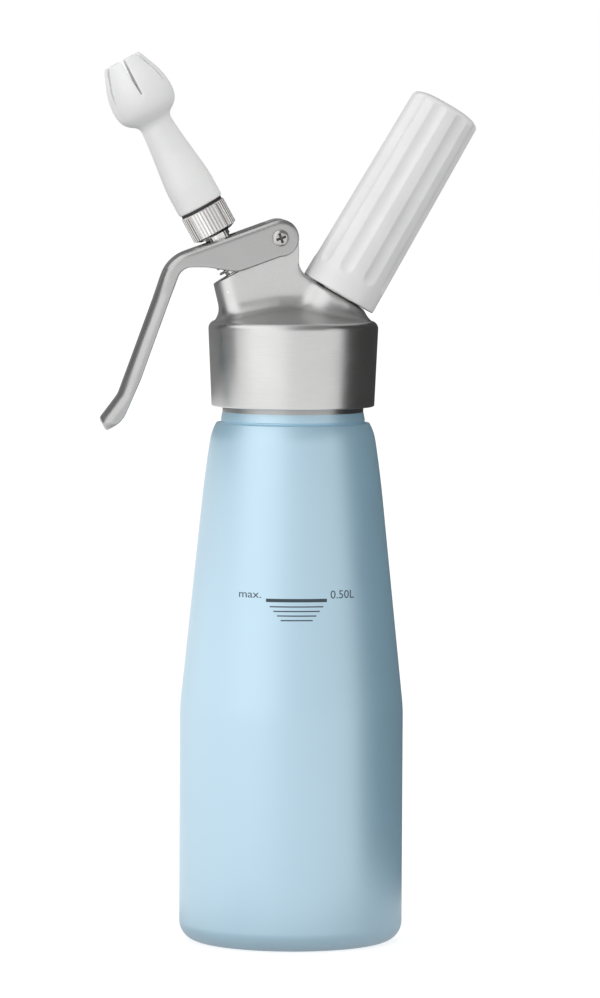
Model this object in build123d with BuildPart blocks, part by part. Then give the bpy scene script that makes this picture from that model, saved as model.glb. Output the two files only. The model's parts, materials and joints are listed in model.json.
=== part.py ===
"""Whipped cream dispenser, half-litre size.

Millimetres. +Z points up, the origin is the middle of the bottle's foot. The valve port leans
towards -X and the charger port towards +X, both in the plane Y = 0.
"""
from build123d import *
import os
from math import atan2, cos, hypot, radians, sin, tan

os.makedirs("parts", exist_ok=True)

# ---------------------------------------------------------------- clearances
thread_clearance = 0.2      # between a thread's crest and the root it turns over
running_clearance = 0.05    # round a pin or stem that turns or slides
seat_clearance = 0.05       # round a piece that is pushed into a seat
side_gap = 0.3              # between faces that swing past each other
lever_play = 0.25           # between the lever's pads and the stem's collar

# ---------------------------------------------------------------- bottle
bottle_radius = 40.0
bottle_wall = 1.6
base_thickness = 2.6
foot_rounding = 7.0
side_top = 84.0             # the straight side ends and the cone starts
side_blend = 60.0
cone_height = 74.0
cone_top_radius = 32.4
shoulder_rise = 21.7        # from the cone to the shoulder, and on to its edge
shoulder_radius = 29.6
edge_rise = 6.3
shoulder_edge_radius = 27.4
collar_radius = 25.8
collar_gap = 1.0
collar_height = 3.0
neck_radius = 25.2          # bare metal, also the crest of the neck's thread
neck_height = 24.0          # from the collar to the rim
neck_thread_lift = 4.0
neck_thread_depth = 1.0
groove_radius = 25.0        # shallow ring pressed into the base
groove_width = 3.0
groove_depth = 0.8

neck_pitch = 3.5
neck_turns = 4.0
# levels from the foot up
cone_top = side_top + cone_height
shoulder_start = cone_top + shoulder_rise
shoulder_edge = shoulder_start + edge_rise
collar_start = shoulder_edge + collar_gap
collar_top = collar_start + collar_height
neck_thread_start = collar_top + neck_thread_lift
rim_height = collar_top + neck_height
neck_root = neck_radius - neck_thread_depth
neck_bore = neck_root - bottle_wall

# ---------------------------------------------------------------- head
skirt_gap = 2.0             # from the bottle's collar to the skirt
skirt_bottom_radius = 29.1
skirt_over_rim = 8.6        # from the bottle's rim to the skirt's top
skirt_top_radius = 30.5
skirt_rounding = 2.9
skirt_edge_break = 0.5
step_ledge = 3.9            # from the skirt's side to the foot of the small step on its top
step_height = 0.7
step_draft = 0.5
crown_rise = 4.6            # low cone that the two ports grow out of, above the skirt
crown_radius = 12.0
crown_rounding = 4.0
gasket_thickness = 2.4
gasket_width = 4.0
hollow_radius = 19.5        # recess in the head, inside the gasket's seat
hollow_depth = 3.1
skirt_bottom = collar_top + skirt_gap
skirt_top = rim_height + skirt_over_rim
step_radius = skirt_top_radius - step_ledge
step_top = skirt_top + step_height
step_top_radius = step_radius - step_draft
crown_height = skirt_top + crown_rise
ceiling = rim_height + gasket_thickness
head_bore = neck_radius + thread_clearance
hollow_top = ceiling + hollow_depth

# ---------------------------------------------------------------- valve port and turret
valve_tilt = 29.0
valve_crossing_drop = 10.8  # the port's axis meets the bottle's axis this far below the rim
valve_crossing = rim_height - valve_crossing_drop
turret_half_width = 7.4
turret_left_foot = 26.5     # distances from the bottle's axis
turret_left_top = 29.2
turret_foot_lift = 2.9      # its foot above the skirt's top
turret_foot_height = skirt_top + turret_foot_lift
turret_rounding = 6.2
turret_edge_break = 0.5
seat_height = 42.1          # heights along the port's own axis from here on
stem_radius = 4.0
stem_bore_radius = 4.8
pocket_radius = 6.1
pocket_floor = 34.5
bush_height = 2.0
bush_lip = 0.1
port_boss_radius = 8.6
port_seat = 14.5
port_boss_length = 8.0

# ---------------------------------------------------------------- stem, valve and spring
stem_passage = 2.2
stem_foot = 9.4
stud_radius = 2.4
plug_radius = 7.6
plug_thickness = 2.3
seal_radius = 7.2
seal_thickness = 2.2
inlet_hole_radius = 1.3
inlet_hole_count = 4
inlet_hole_lift = 2.3       # above the seat while the valve is shut
ring_section = 0.72
ring_heights = (23.0, 30.0)
shoulder_height = 49.5      # the stem steps down here and carries the collar
stem_thread_radius = 3.5
stem_thread_depth = 0.45
stem_thread_start = 58.5
stem_thread_turns = 5.0
stem_pitch = 1.25
stem_top = 66.0
spring_collar_radius = 6.4
spring_collar_thickness = 1.8
spring_wire = 0.45
spring_radius = 5.4
spring_turns = 6.0

# ---------------------------------------------------------------- lever
pivot_x = -5.5
pivot_lift = 38.2           # the pivot above the bottle's rim
pivot_z = rim_height + pivot_lift
lug_radius = 6.2
lug_corner = 1.5
lug_foot_rounding = 4.0     # hollow between the lug and the charger's boss
lug_right = 1.3             # right face of the turret and lug, from the bottle's axis
pivot_pin_radius = 2.2
ear_radius = 6.7
arm_slope = 20.0
arm_length = 39.5           # from the pivot to the outer corner of the bend
web_thickness = 2.6
web_root = 31.0             # the pocket under the web ends here
web_start = 3.0             # the web starts this far from the pivot
cheek_thickness = 1.8
cheek_drop = 12.3           # lowest edge of the cheeks below the pivot
cheek_drop_reach = 15.0
cheek_rise_reach = 26.0     # where the lower edge turns back up towards the bend
cheek_rise_drop = 10.5
bend_radius = 14.0
inner_bend_radius = 5.0
cheek_rise_radius = 12.0
cheek_low_radius = 8.0
kink_radius = 8.0
handle_tilt = 20.0
handle_thickness = 5.2
handle_length = 49.6        # along the outer face, from the bend to the tip's kink
handle_half_width = 7.2
handle_waist = 6.7
tip_tilt = 35.0
tip_length = 13.5
tip_thickness = 6.2
tip_rounding = 2.7
tip_corner = 5.0            # rounding of the tip as seen from the front
narrowing_start = 1.0       # seen from the front, the arm narrows from here above the bend
narrowing_end = 9.0         # to here below it
arm_corner = 8.0            # roundings of that narrowing, and of the waist below it
handle_corner = 14.0
waist_corner = 30.0
pad_radius = 2.0
slot_travel = 1.6           # room for the neck while the web swings round it
slot_side_gap = 0.6
slot_end_room = 2.0

# ---------------------------------------------------------------- pivot screw
barrel_bore = 1.5
barrel_head_radius = 3.2
barrel_head_height = 1.3
screw_head_radius = 2.95
screw_head_height = 1.8
screw_length = 12.0
recess_width = 0.8
recess_length = 3.3
recess_depth = 1.0
head_play = 0.1             # between the cheeks and the heads on the pivot

# ---------------------------------------------------------------- adapter and nozzle
nut_bottom = 57.3
nut_height = 10.4
nut_radius = 8.4
nut_chamfer = 2.2
nut_chamfer_height = 1.1
knurl_count = 42
knurl_depth = 0.35
neck_outer_radius = 4.2
hexagon_width = 8.0
hexagon_height = 1.7
spigot_radius = 5.5
spigot_thread_depth = 0.5
spigot_length = 9.8
spigot_pitch = 1.5
spigot_turns = 4.0
washer_thickness = 1.0
nozzle_ring_radius = 7.9
nozzle_ring_thickness = 1.1
nozzle_length = 58.8
nozzle_base_radius = 8.55
nozzle_base_height = 8.5
nozzle_waist_radius = 5.95
nozzle_waist_height = 33.2
bulb_radius = 11.5
bulb_height = 42.8
bulb_tip_radius = 6.9
waist_run = 9.5             # the stem is nearly at its waist this far below it
bulb_foot = 6.0             # where the bulb has swelled, below its widest point
bulb_taper = 9.0            # where it has begun to close, above its widest point
nozzle_wall = 2.5
bulb_wall = 2.2
bulb_floor = 38.0           # where the passage opens into the bulb
channel_radius = 4.6
slot_count = 6
slot_length = 15.4
slot_width = 1.8
slot_root_width = 0.3
nozzle_insert_wall = 1.1
nozzle_insert_length = 9.0
insert_step = 0.3           # the inserts sit this far inside the plastic's rim

# ---------------------------------------------------------------- charger port
inlet_tilt = 30.0
inlet_crossing_drop = 9.6
inlet_crossing = rim_height - inlet_crossing_drop
boss_radius = 12.2
boss_face = 31.3            # heights along the port's own axis from here on
boss_rounding = 1.9
inlet_spigot_radius = 9.9
inlet_spigot_depth = 0.8
inlet_spigot_top = 44.0
inlet_relief_radius = 8.8
inlet_relief_height = 2.4
inlet_thread_start = 34.9
inlet_pitch = 2.0
inlet_turns = 4.0
socket_radius = 5.2
socket_floor = 33.0
inlet_body_radius = 4.15
inlet_flange_radius = 5.0
inlet_flange_height = 1.2
inlet_body_foot = 18.8
nose_radius = 3.0
nose_foot = 13.8
gas_bore = 1.0
gas_hole = 0.6
sleeve_wall = 1.0
pin_radius = 0.9
pin_depth = 3.0
pin_reach = 2.4             # how far the tip goes into the charger
charger_gasket_thickness = 1.8
charger_gasket_bore = 1.5

# ---------------------------------------------------------------- charger and its holder
charger_radius = 8.9
charger_length = 65.4
charger_wall = 1.6
charger_neck_radius = 3.9
charger_neck_length = 7.0
charger_shoulder = 20.0     # the shoulder has reached the full radius here
pierced_radius = 1.3
holder_foot = 32.0
holder_foot_radius = 14.15
holder_top_radius = 13.0
holder_rounding = 4.5
holder_bore = 9.3
pad_thickness = 3.0
holder_end_wall = 5.7       # closed end of the holder, above the pad
pad_side = 0.15
insert_wall = 1.45
holder_insert_length = 13.0
flute_count = 9
flute_radius = 5.2
flute_depth = 1.0
flute_start = 7.7
flute_phase = -104.4        # one flute's direction round the holder's axis


# ---------------------------------------------------------------- planes of the two ports
def port_plane(crossing, tilt):
    """Plane square to a port: its normal leans by tilt from +Z towards +X, Y stays across."""
    lean = radians(tilt)
    return Plane(
        origin=(0, 0, crossing),
        x_dir=(cos(lean), 0, -sin(lean)),
        z_dir=(sin(lean), 0, cos(lean)),
    )


valve_port = port_plane(valve_crossing, -valve_tilt)
inlet_port = port_plane(inlet_crossing, inlet_tilt)


# ---------------------------------------------------------------- shapes used more than once
def section_plane(foot):
    """The plane of a turned piece's half section: radius across, height along foot's axis."""
    return Plane(origin=foot.origin, x_dir=foot.x_dir, z_dir=-foot.y_dir)


def turn(foot, *outline, mode=Mode.ADD):
    """Turn a closed outline of (radius, height) points about foot's axis."""
    with BuildSketch(section_plane(foot)) as section:
        with BuildLine():
            Polyline(*outline, close=True)
        make_face()
    revolve(section.sketch, axis=Axis(foot.origin, foot.z_dir), mode=mode)


def tube(foot, outer, inner, height, mode=Mode.ADD):
    """A plain ring standing on foot, or a disc where the inner radius is 0."""
    with BuildSketch(foot) as section:
        Circle(outer)
        if inner > 0:
            Circle(inner, mode=Mode.SUBTRACT)
    extrude(section.sketch, amount=height, mode=mode)


def thread(foot, root, depth, pitch, turns):
    """One helical ridge on a core of radius root; a negative depth points inwards."""
    sunk = -0.15 if depth > 0 else 0.15
    root_width = 0.5 * pitch
    crest_width = 0.27 * pitch
    with BuildPart() as ridge:
        with BuildLine():
            path = Helix(pitch, pitch * turns, root)
        with BuildSketch(Plane(origin=path @ 0, x_dir=(1, 0, 0), z_dir=path % 0)):
            with BuildLine():
                Polyline(
                    (sunk, -root_width / 2),
                    (depth, -crest_width / 2),
                    (depth, crest_width / 2),
                    (sunk, root_width / 2),
                    close=True,
                )
            make_face()
        sweep(is_frenet=True)
    return ridge.part.moved(foot.location)


def finish(builder, name):
    """Label a finished piece and write it."""
    builder.part.label = name
    export_step(builder.part, f"parts/{name}.step")


# ================================================================ BOTTLE
def bottle_wall_line(inset, floor):
    """Half outline of the bottle from its axis at floor up to the shoulder, moved in by inset."""
    side = FilletPolyline(
        (0, floor),
        (bottle_radius - inset, floor),
        (bottle_radius - inset, side_top),
        (cone_top_radius - inset, cone_top),
        radius=[foot_rounding - inset, side_blend],
    )
    upper = TangentArc(side @ 1, (shoulder_radius - inset, shoulder_start), tangent=side % 1)
    edge = TangentArc(
        upper @ 1, (shoulder_edge_radius - inset, shoulder_edge - inset / 2), tangent=upper % 1
    )
    return edge @ 1


neck_thread = thread(
    Plane.XY.offset(neck_thread_start + neck_pitch / 2),
    neck_root,
    neck_thread_depth,
    neck_pitch,
    neck_turns,
)
with BuildPart() as bottle:
    with BuildSketch(Plane.XZ):
        with BuildLine():
            shoulder = bottle_wall_line(0, 0)
            neck = Polyline(
                shoulder,
                (collar_radius, shoulder_edge + 0.3),
                (collar_radius - 0.4, shoulder_edge + 0.7),
                (collar_radius, collar_start),
                (neck_radius, collar_top),
                (neck_radius, neck_thread_start),
                (neck_root, neck_thread_start + neck_thread_depth),
                (neck_root, rim_height),
                (0, rim_height),
            )
            Line(neck @ 1, (0, 0))
        make_face()
    revolve(axis=Axis.Z)
    add(neck_thread)
    with BuildSketch(Plane.XZ) as cavity:
        with BuildLine():
            inner_edge = bottle_wall_line(bottle_wall, base_thickness)
            throat = Polyline(
                inner_edge,
                (neck_bore, shoulder_edge),
                (neck_bore, rim_height),
                (0, rim_height),
            )
            Line(throat @ 1, (0, base_thickness))
        make_face()
    revolve(cavity.sketch, axis=Axis.Z, mode=Mode.SUBTRACT)
    tube(
        Plane.XY,
        groove_radius + groove_width / 2,
        groove_radius - groove_width / 2,
        groove_depth,
        mode=Mode.SUBTRACT,
    )
finish(bottle, "bottle")

# ================================================================ HEAD GASKET
with BuildPart() as head_gasket:
    tube(
        Plane.XY.offset(rim_height),
        head_bore - side_gap,
        head_bore - side_gap - gasket_width,
        gasket_thickness,
    )
finish(head_gasket, "head_gasket")

# ================================================================ HEAD
arm = radians(arm_slope)


def from_pivot(along, above):
    """A point in the X-Z plane: along the lever's arm towards the bend, and square above it."""
    return (
        pivot_x - along * cos(arm) - above * sin(arm),
        pivot_z - along * sin(arm) + above * cos(arm),
    )


def seat_z(x):
    """Height of the turret's seat above a point of the X axis."""
    lean = radians(valve_tilt)
    return valve_crossing + (seat_height + x * sin(lean)) / cos(lean)


def boss_face_z(x):
    """Height of the plane of the charger boss's face above a point of the X axis."""
    lean = radians(inlet_tilt)
    return inlet_crossing + (boss_face - x * sin(lean)) / cos(lean)


lug_left = pivot_x - lug_radius
boss_face_x = boss_face * sin(radians(inlet_tilt))
# the boss starts level with the hollow's top at its lowest point
boss_foot = (hollow_top - inlet_crossing + boss_radius * sin(radians(inlet_tilt))) / cos(
    radians(inlet_tilt)
)
with BuildPart() as turret:
    with BuildSketch(Plane.XZ):
        with BuildLine():
            FilletPolyline(
                (-turret_left_foot + 1, hollow_top + 1),
                (-turret_left_foot, turret_foot_height),
                (-turret_left_top, seat_z(-turret_left_top)),
                (lug_left, seat_z(lug_left)),
                (lug_left, pivot_z),
                (lug_right, pivot_z - 1),
                (lug_right, boss_face_z(lug_right)),
                (boss_face_x / 2, boss_face_z(boss_face_x / 2)),
                (boss_face_x / 2, hollow_top + 1),
                radius=[0, 0, turret_edge_break, 0, 0, lug_corner, lug_foot_rounding, 0, 0],
                close=True,
            )
        make_face()
    extrude(amount=turret_half_width, both=True)
    left_face = turret.faces().sort_by(Axis.X)[0]
    left_edges = left_face.edges().filter_by(lambda edge: abs(edge.tangent_at(0.5).Y) < 0.5)
    fillet(left_edges, radius=turret_rounding)
    with BuildSketch(Plane.XZ):
        with Locations((pivot_x, pivot_z)):
            Circle(lug_radius)
    extrude(amount=turret_half_width, both=True)

skirt_thread = thread(
    Plane.XY.offset(neck_thread_start + neck_pitch),
    head_bore,
    -neck_thread_depth,
    neck_pitch,
    neck_turns - 1,
)
inlet_root = inlet_spigot_radius - inlet_spigot_depth
spigot_thread = thread(
    inlet_port.offset(inlet_thread_start), inlet_root, inlet_spigot_depth, inlet_pitch, inlet_turns
)
with BuildPart() as inlet_boss:
    tube(inlet_port.offset(boss_foot), boss_radius, 0, boss_face - boss_foot)
    boss_rim = inlet_boss.faces().sort_by(Axis(inlet_port.origin, inlet_port.z_dir))[-1].edges()
    fillet(boss_rim, radius=boss_rounding)

with BuildPart() as head_body:
    with BuildSketch(Plane.XZ):
        with BuildLine():
            outside = FilletPolyline(
                (head_bore, skirt_bottom),
                (skirt_bottom_radius, skirt_bottom),
                (skirt_top_radius, skirt_top),
                (step_radius, skirt_top),
                (step_top_radius, step_top),
                (crown_radius, crown_height),
                (0, crown_height),
                radius=[skirt_edge_break, skirt_rounding, 0.3, 0.4, crown_rounding],
            )
            Polyline(outside @ 1, (0, ceiling), (head_bore, ceiling), outside @ 0)
        make_face()
    revolve(axis=Axis.Z)
    add(turret.part)
    add(inlet_boss.part)
    tube(Plane.XY.offset(ceiling), hollow_radius, 0, hollow_depth, mode=Mode.SUBTRACT)
    tube(valve_port.offset(port_seat), port_boss_radius, 0, port_boss_length)
    turn(
        inlet_port,
        (0, boss_face),
        (inlet_relief_radius, boss_face),
        (inlet_relief_radius, boss_face + inlet_relief_height),
        (inlet_root, boss_face + inlet_relief_height),
        (inlet_root, inlet_spigot_top),
        (0, inlet_spigot_top),
    )
    add(spigot_thread)
    add(skirt_thread)
    tube(valve_port.offset(pocket_floor), pocket_radius, 0, seat_height, mode=Mode.SUBTRACT)
    tube(valve_port.offset(stem_foot), stem_bore_radius, 0, pocket_floor - stem_foot, mode=Mode.SUBTRACT)
    tube(inlet_port.offset(socket_floor), socket_radius, 0, inlet_spigot_top, mode=Mode.SUBTRACT)
    tube(
        inlet_port.offset(nose_foot),
        inlet_body_radius + seat_clearance,
        0,
        socket_floor - nose_foot,
        mode=Mode.SUBTRACT,
    )
    with BuildSketch(Plane.XZ):
        with Locations((pivot_x, pivot_z)):
            Circle(pivot_pin_radius + running_clearance)
    extrude(amount=2 * turret_half_width, both=True, mode=Mode.SUBTRACT)
finish(head_body, "head_body")

# ================================================================ VALVE STEM AND WHAT IT CARRIES
stem_root = stem_thread_radius - stem_thread_depth
ring_groove = stem_radius - 2 * ring_section + 0.6
stem_thread = thread(
    valve_port.offset(stem_thread_start), stem_root, stem_thread_depth, stem_pitch, stem_thread_turns
)
plug_top = port_seat - seal_thickness
with BuildPart() as valve_stem:
    turn(
        valve_port,
        (0, stem_foot),
        (stud_radius, stem_foot),
        (stud_radius, plug_top),
        (stem_radius, plug_top),
        (stem_radius, shoulder_height),
        (stem_thread_radius, shoulder_height),
        (stem_thread_radius, stem_thread_start - stem_pitch / 2),
        (stem_root, stem_thread_start - stem_pitch / 2),
        (stem_root, stem_top),
        (0, stem_top),
    )
    add(stem_thread)
    passage_floor = port_seat + inlet_hole_lift - inlet_hole_radius
    tube(valve_port.offset(passage_floor), stem_passage, 0, stem_top, mode=Mode.SUBTRACT)
    for height in ring_heights:
        tube(
            valve_port.offset(height - ring_section - seat_clearance),
            stem_radius + 1,
            ring_groove,
            2 * (ring_section + seat_clearance),
            mode=Mode.SUBTRACT,
        )
    hole_level = valve_port.offset(port_seat + inlet_hole_lift)
    for index in range(inlet_hole_count):
        turned_level = hole_level.rotated((0, 0, index * 360 / inlet_hole_count))
        side_hole = Plane(origin=turned_level.origin, x_dir=turned_level.z_dir, z_dir=turned_level.x_dir)
        tube(side_hole, inlet_hole_radius, 0, stem_radius + 1, mode=Mode.SUBTRACT)
finish(valve_stem, "valve_stem")

ring_radius = ring_groove + ring_section + seat_clearance
with BuildPart() as stem_rings:
    for height in ring_heights:
        level = valve_port.offset(height)
        with BuildSketch(section_plane(level)) as ring_circle:
            with Locations((ring_radius, 0)):
                Circle(ring_section)
        revolve(ring_circle.sketch, axis=Axis(level.origin, level.z_dir))
finish(stem_rings, "stem_rings")

with BuildPart() as valve_plug:
    tube(
        valve_port.offset(plug_top - plug_thickness),
        plug_radius,
        stud_radius + seat_clearance,
        plug_thickness,
    )
    chamfer(valve_plug.edges().group_by(SortBy.LENGTH)[-1], length=0.5)
finish(valve_plug, "valve_plug")

with BuildPart() as valve_seal:
    tube(valve_port.offset(plug_top), seal_radius, stem_radius + seat_clearance, seal_thickness)
finish(valve_seal, "valve_seal")

with BuildPart() as stem_bush:
    bush_foot = valve_port.offset(pocket_floor)
    tube(bush_foot, pocket_radius - bush_lip, stem_radius + running_clearance, bush_height)
finish(stem_bush, "stem_bush")

with BuildPart() as spring_collar:
    tube(
        valve_port.offset(shoulder_height),
        spring_collar_radius,
        stem_thread_radius + seat_clearance,
        spring_collar_thickness,
    )
    chamfer(spring_collar.edges().group_by(SortBy.LENGTH)[-1], length=0.4)
finish(spring_collar, "spring_collar")

spring_foot = pocket_floor + bush_height
coil_clearance = 0.02
coil_height = shoulder_height - spring_foot - 2 * (spring_wire + coil_clearance)
with BuildPart() as coil:
    with BuildLine():
        coil_line = Helix(coil_height / spring_turns, coil_height, spring_radius)
    with BuildSketch(Plane(origin=coil_line @ 0, x_dir=(1, 0, 0), z_dir=coil_line % 0)):
        Circle(spring_wire)
    sweep(is_frenet=True)
with BuildPart() as valve_spring:
    add(coil.part.moved(valve_port.offset(spring_foot + spring_wire + coil_clearance).location))
finish(valve_spring, "valve_spring")

# ================================================================ LEVER
handle = radians(handle_tilt)
tip = radians(tip_tilt)
cheek_inside = turret_half_width + side_gap
cheek_outside = cheek_inside + cheek_thickness
outer_corner = from_pivot(arm_length, ear_radius)
kink = (outer_corner[0] - handle_length * sin(handle), outer_corner[1] - handle_length * cos(handle))
tip_end = (kink[0] - tip_length * sin(tip), kink[1] - tip_length * cos(tip))
tip_inner = (tip_end[0] + tip_thickness * cos(tip), tip_end[1] - tip_thickness * sin(tip))
# the handle's inner face runs parallel to the outer one, at the handle's thickness
inner_face = (
    outer_corner[0] + handle_thickness * cos(handle),
    outer_corner[1] - handle_thickness * sin(handle),
)


def on_inner_face(z):
    """The point of the handle's inner face at height z."""
    return (inner_face[0] + (z - inner_face[1]) * tan(handle), z)


cheek_low = (pivot_x - cheek_drop_reach, pivot_z - cheek_drop)
cheek_rise = (pivot_x - cheek_rise_reach, pivot_z - cheek_rise_drop)
inner_corner = on_inner_face(pivot_z - cheek_rise_drop)
inner_kink = on_inner_face(kink[1] - handle_thickness * sin((handle + tip) / 2))
# the cheeks' lower edge meets the ears' round end at a tangent
low_distance = hypot(cheek_drop_reach, cheek_drop)
low_angle = atan2(-cheek_drop, -cheek_drop_reach) + atan2(
    (low_distance**2 - ear_radius**2) ** 0.5, ear_radius
)
ear_tangent = (pivot_x + ear_radius * cos(low_angle), pivot_z + ear_radius * sin(low_angle))
with BuildPart() as lever:
    with BuildSketch(Plane.XZ):
        with BuildLine():
            FilletPolyline(
                from_pivot(0, ear_radius),
                outer_corner,
                kink,
                tip_end,
                tip_inner,
                inner_kink,
                inner_corner,
                cheek_rise,
                cheek_low,
                ear_tangent,
                (pivot_x, pivot_z),
                radius=[
                    0,
                    bend_radius,
                    kink_radius,
                    tip_rounding,
                    tip_rounding,
                    kink_radius + handle_thickness,
                    inner_bend_radius,
                    cheek_rise_radius,
                    cheek_low_radius,
                    0,
                    0,
                ],
                close=True,
            )
        make_face()
        with Locations((pivot_x, pivot_z)):
            Circle(ear_radius)
    extrude(amount=cheek_outside, both=True)
    # seen from the front the wide arm narrows to the handle, which ends in a round tongue
    front_reach = arm_length + handle_length
    with BuildSketch(Plane.YZ.offset(pivot_x - 2 * front_reach)) as front:
        with BuildLine():
            half_widths = (
                (cheek_outside, pivot_z + 2 * ear_radius),
                (cheek_outside, inner_corner[1] + narrowing_start),
                (handle_half_width, inner_corner[1] - narrowing_end),
                (handle_waist, kink[1] + handle_length * 0.3),
                (handle_half_width, kink[1] - tip_length * 0.3),
                (handle_half_width, tip_inner[1] + tip_rounding * 0.3),
            )
            left_side = [(-width, height) for width, height in reversed(half_widths)]
            corners = [0, arm_corner, handle_corner, waist_corner, waist_corner, tip_corner]
            FilletPolyline(
                *half_widths,
                *left_side,
                radius=[*corners, *reversed(corners)],
                close=True,
            )
        make_face()
    extrude(front.sketch, amount=4 * front_reach, mode=Mode.INTERSECT)
    # the pocket between the cheeks, and the gap between the ears
    with BuildSketch(Plane.XZ) as pocket:
        with BuildLine():
            FilletPolyline(
                from_pivot(web_root, ear_radius - web_thickness),
                from_pivot(-2 * ear_radius, ear_radius - web_thickness),
                (pivot_x + 3 * ear_radius, pivot_z - 2 * cheek_drop),
                (from_pivot(web_root, 0)[0] + 1, pivot_z - 2 * cheek_drop),
                radius=[2.0, 0, 0, 0],
                close=True,
            )
        make_face()
        with Locations((pivot_x, pivot_z)):
            Circle(ear_radius - 0.1)
        with BuildLine():
            Polyline(
                from_pivot(web_start, 0),
                from_pivot(web_start, 2 * ear_radius),
                from_pivot(-2 * ear_radius, 2 * ear_radius),
                from_pivot(-2 * ear_radius, 0),
                close=True,
            )
        make_face()
    extrude(pocket.sketch, amount=cheek_inside, both=True, mode=Mode.SUBTRACT)
    # two rounded pads under the web press on the stem's collar
    pad_level = shoulder_height + spring_collar_thickness + lever_play + pad_radius
    pad_plane = Plane(
        origin=valve_port.offset(pad_level).origin, x_dir=valve_port.x_dir, z_dir=(0, -1, 0)
    )
    with BuildSketch(pad_plane) as pad_section:
        Circle(pad_radius)
    extrude(pad_section.sketch, amount=cheek_inside + cheek_thickness / 2, both=True)
    # the slot that the adapter's neck stands in
    slot_plane = valve_port.offset(shoulder_height - spring_collar_thickness)
    slot_across = 2 * (neck_outer_radius + slot_side_gap)
    with BuildSketch(slot_plane) as slot:
        with Locations((-slot_travel / 2, 0)):
            SlotOverall(slot_across + slot_travel + slot_end_room, slot_across)
    extrude(slot.sketch, amount=5 * pad_radius, mode=Mode.SUBTRACT)
    with BuildSketch(Plane.XZ) as pin_hole:
        with Locations((pivot_x, pivot_z)):
            Circle(pivot_pin_radius + running_clearance)
    extrude(pin_hole.sketch, amount=2 * cheek_outside, both=True, mode=Mode.SUBTRACT)
finish(lever, "lever")

# ================================================================ PIVOT
pivot_near = Plane(origin=(pivot_x, 0, pivot_z), x_dir=(1, 0, 0), z_dir=(0, -1, 0))
head_stand = cheek_outside + head_play
with BuildPart() as pivot_barrel:
    tube(pivot_near.offset(-head_stand), pivot_pin_radius, barrel_bore, 2 * head_stand)
    tube(
        pivot_near.offset(-head_stand - barrel_head_height),
        barrel_head_radius,
        barrel_bore,
        barrel_head_height,
    )
    chamfer(pivot_barrel.faces().sort_by(Axis.Y)[-1].edges().sort_by(SortBy.LENGTH)[-1], length=0.5)
finish(pivot_barrel, "pivot_barrel")

with BuildPart() as pivot_screw:
    tube(pivot_near.offset(head_stand - screw_length), barrel_bore - seat_clearance, 0, screw_length)
    with BuildSketch(section_plane(pivot_near.offset(head_stand))) as pan:
        with BuildLine():
            rim = Line((screw_head_radius, 0), (screw_head_radius, screw_head_height * 0.35))
            dome = TangentArc(rim @ 1, (0, screw_head_height), tangent=(-0.55, 1))
            Polyline(dome @ 1, (0, 0), rim @ 0)
        make_face()
    revolve(pan.sketch, axis=Axis(pivot_near.origin, pivot_near.z_dir))
    with BuildSketch(pivot_near.offset(head_stand + screw_head_height - recess_depth)) as recess:
        Rectangle(recess_length, recess_width, rotation=20)
        Rectangle(recess_width, recess_length, rotation=20)
    extrude(recess.sketch, amount=2 * recess_depth, mode=Mode.SUBTRACT)
finish(pivot_screw, "pivot_screw")

# ================================================================ ADAPTER
nut_top = nut_bottom + nut_height
collar_top_level = shoulder_height + spring_collar_thickness
spigot_root = spigot_radius - spigot_thread_depth
adapter_bore = stem_thread_radius + thread_clearance
adapter_thread = thread(
    valve_port.offset(stem_thread_start + stem_pitch / 2),
    adapter_bore,
    -stem_thread_depth,
    stem_pitch,
    stem_thread_turns,
)
spigot_ridge = thread(
    valve_port.offset(nut_top + nozzle_ring_thickness + spigot_pitch / 2),
    spigot_root,
    spigot_thread_depth,
    spigot_pitch,
    spigot_turns,
)
with BuildPart() as nozzle_adapter:
    with BuildSketch(valve_port.offset(nut_bottom)) as knurling:
        Circle(nut_radius)
        with PolarLocations(nut_radius, knurl_count):
            RegularPolygon(knurl_depth * 1.4, 3, rotation=60, mode=Mode.SUBTRACT)
    extrude(knurling.sketch, amount=nut_height)
    turn(
        valve_port,
        (0, nut_bottom),
        (nut_radius - nut_chamfer, nut_bottom),
        (nut_radius, nut_bottom + nut_chamfer_height),
        (nut_radius, nut_top - knurl_depth),
        (nut_radius - knurl_depth, nut_top),
        (0, nut_top),
        mode=Mode.INTERSECT,
    )
    tube(valve_port.offset(collar_top_level), neck_outer_radius, 0, nut_bottom - collar_top_level)
    with BuildSketch(valve_port.offset(nut_bottom - hexagon_height)) as flats:
        RegularPolygon(hexagon_width / 2, 6, major_radius=False)
    extrude(flats.sketch, amount=hexagon_height)
    tube(valve_port.offset(nut_top), spigot_root, 0, spigot_length)
    add(spigot_ridge)
    tube(
        valve_port.offset(collar_top_level),
        adapter_bore,
        0,
        stem_top + washer_thickness - collar_top_level,
        mode=Mode.SUBTRACT,
    )
    tube(
        valve_port.offset(stem_top),
        stem_passage,
        0,
        nut_top + spigot_length - stem_top,
        mode=Mode.SUBTRACT,
    )
    add(adapter_thread)
finish(nozzle_adapter, "nozzle_adapter")

with BuildPart() as adapter_washer:
    tube(valve_port.offset(stem_top), adapter_bore - side_gap, stem_passage, washer_thickness)
finish(adapter_washer, "adapter_washer")

# ================================================================ NOZZLE
with BuildPart() as nozzle_ring:
    tube(valve_port.offset(nut_top), nozzle_ring_radius, spigot_radius + side_gap, nozzle_ring_thickness)
finish(nozzle_ring, "nozzle_ring")

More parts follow.
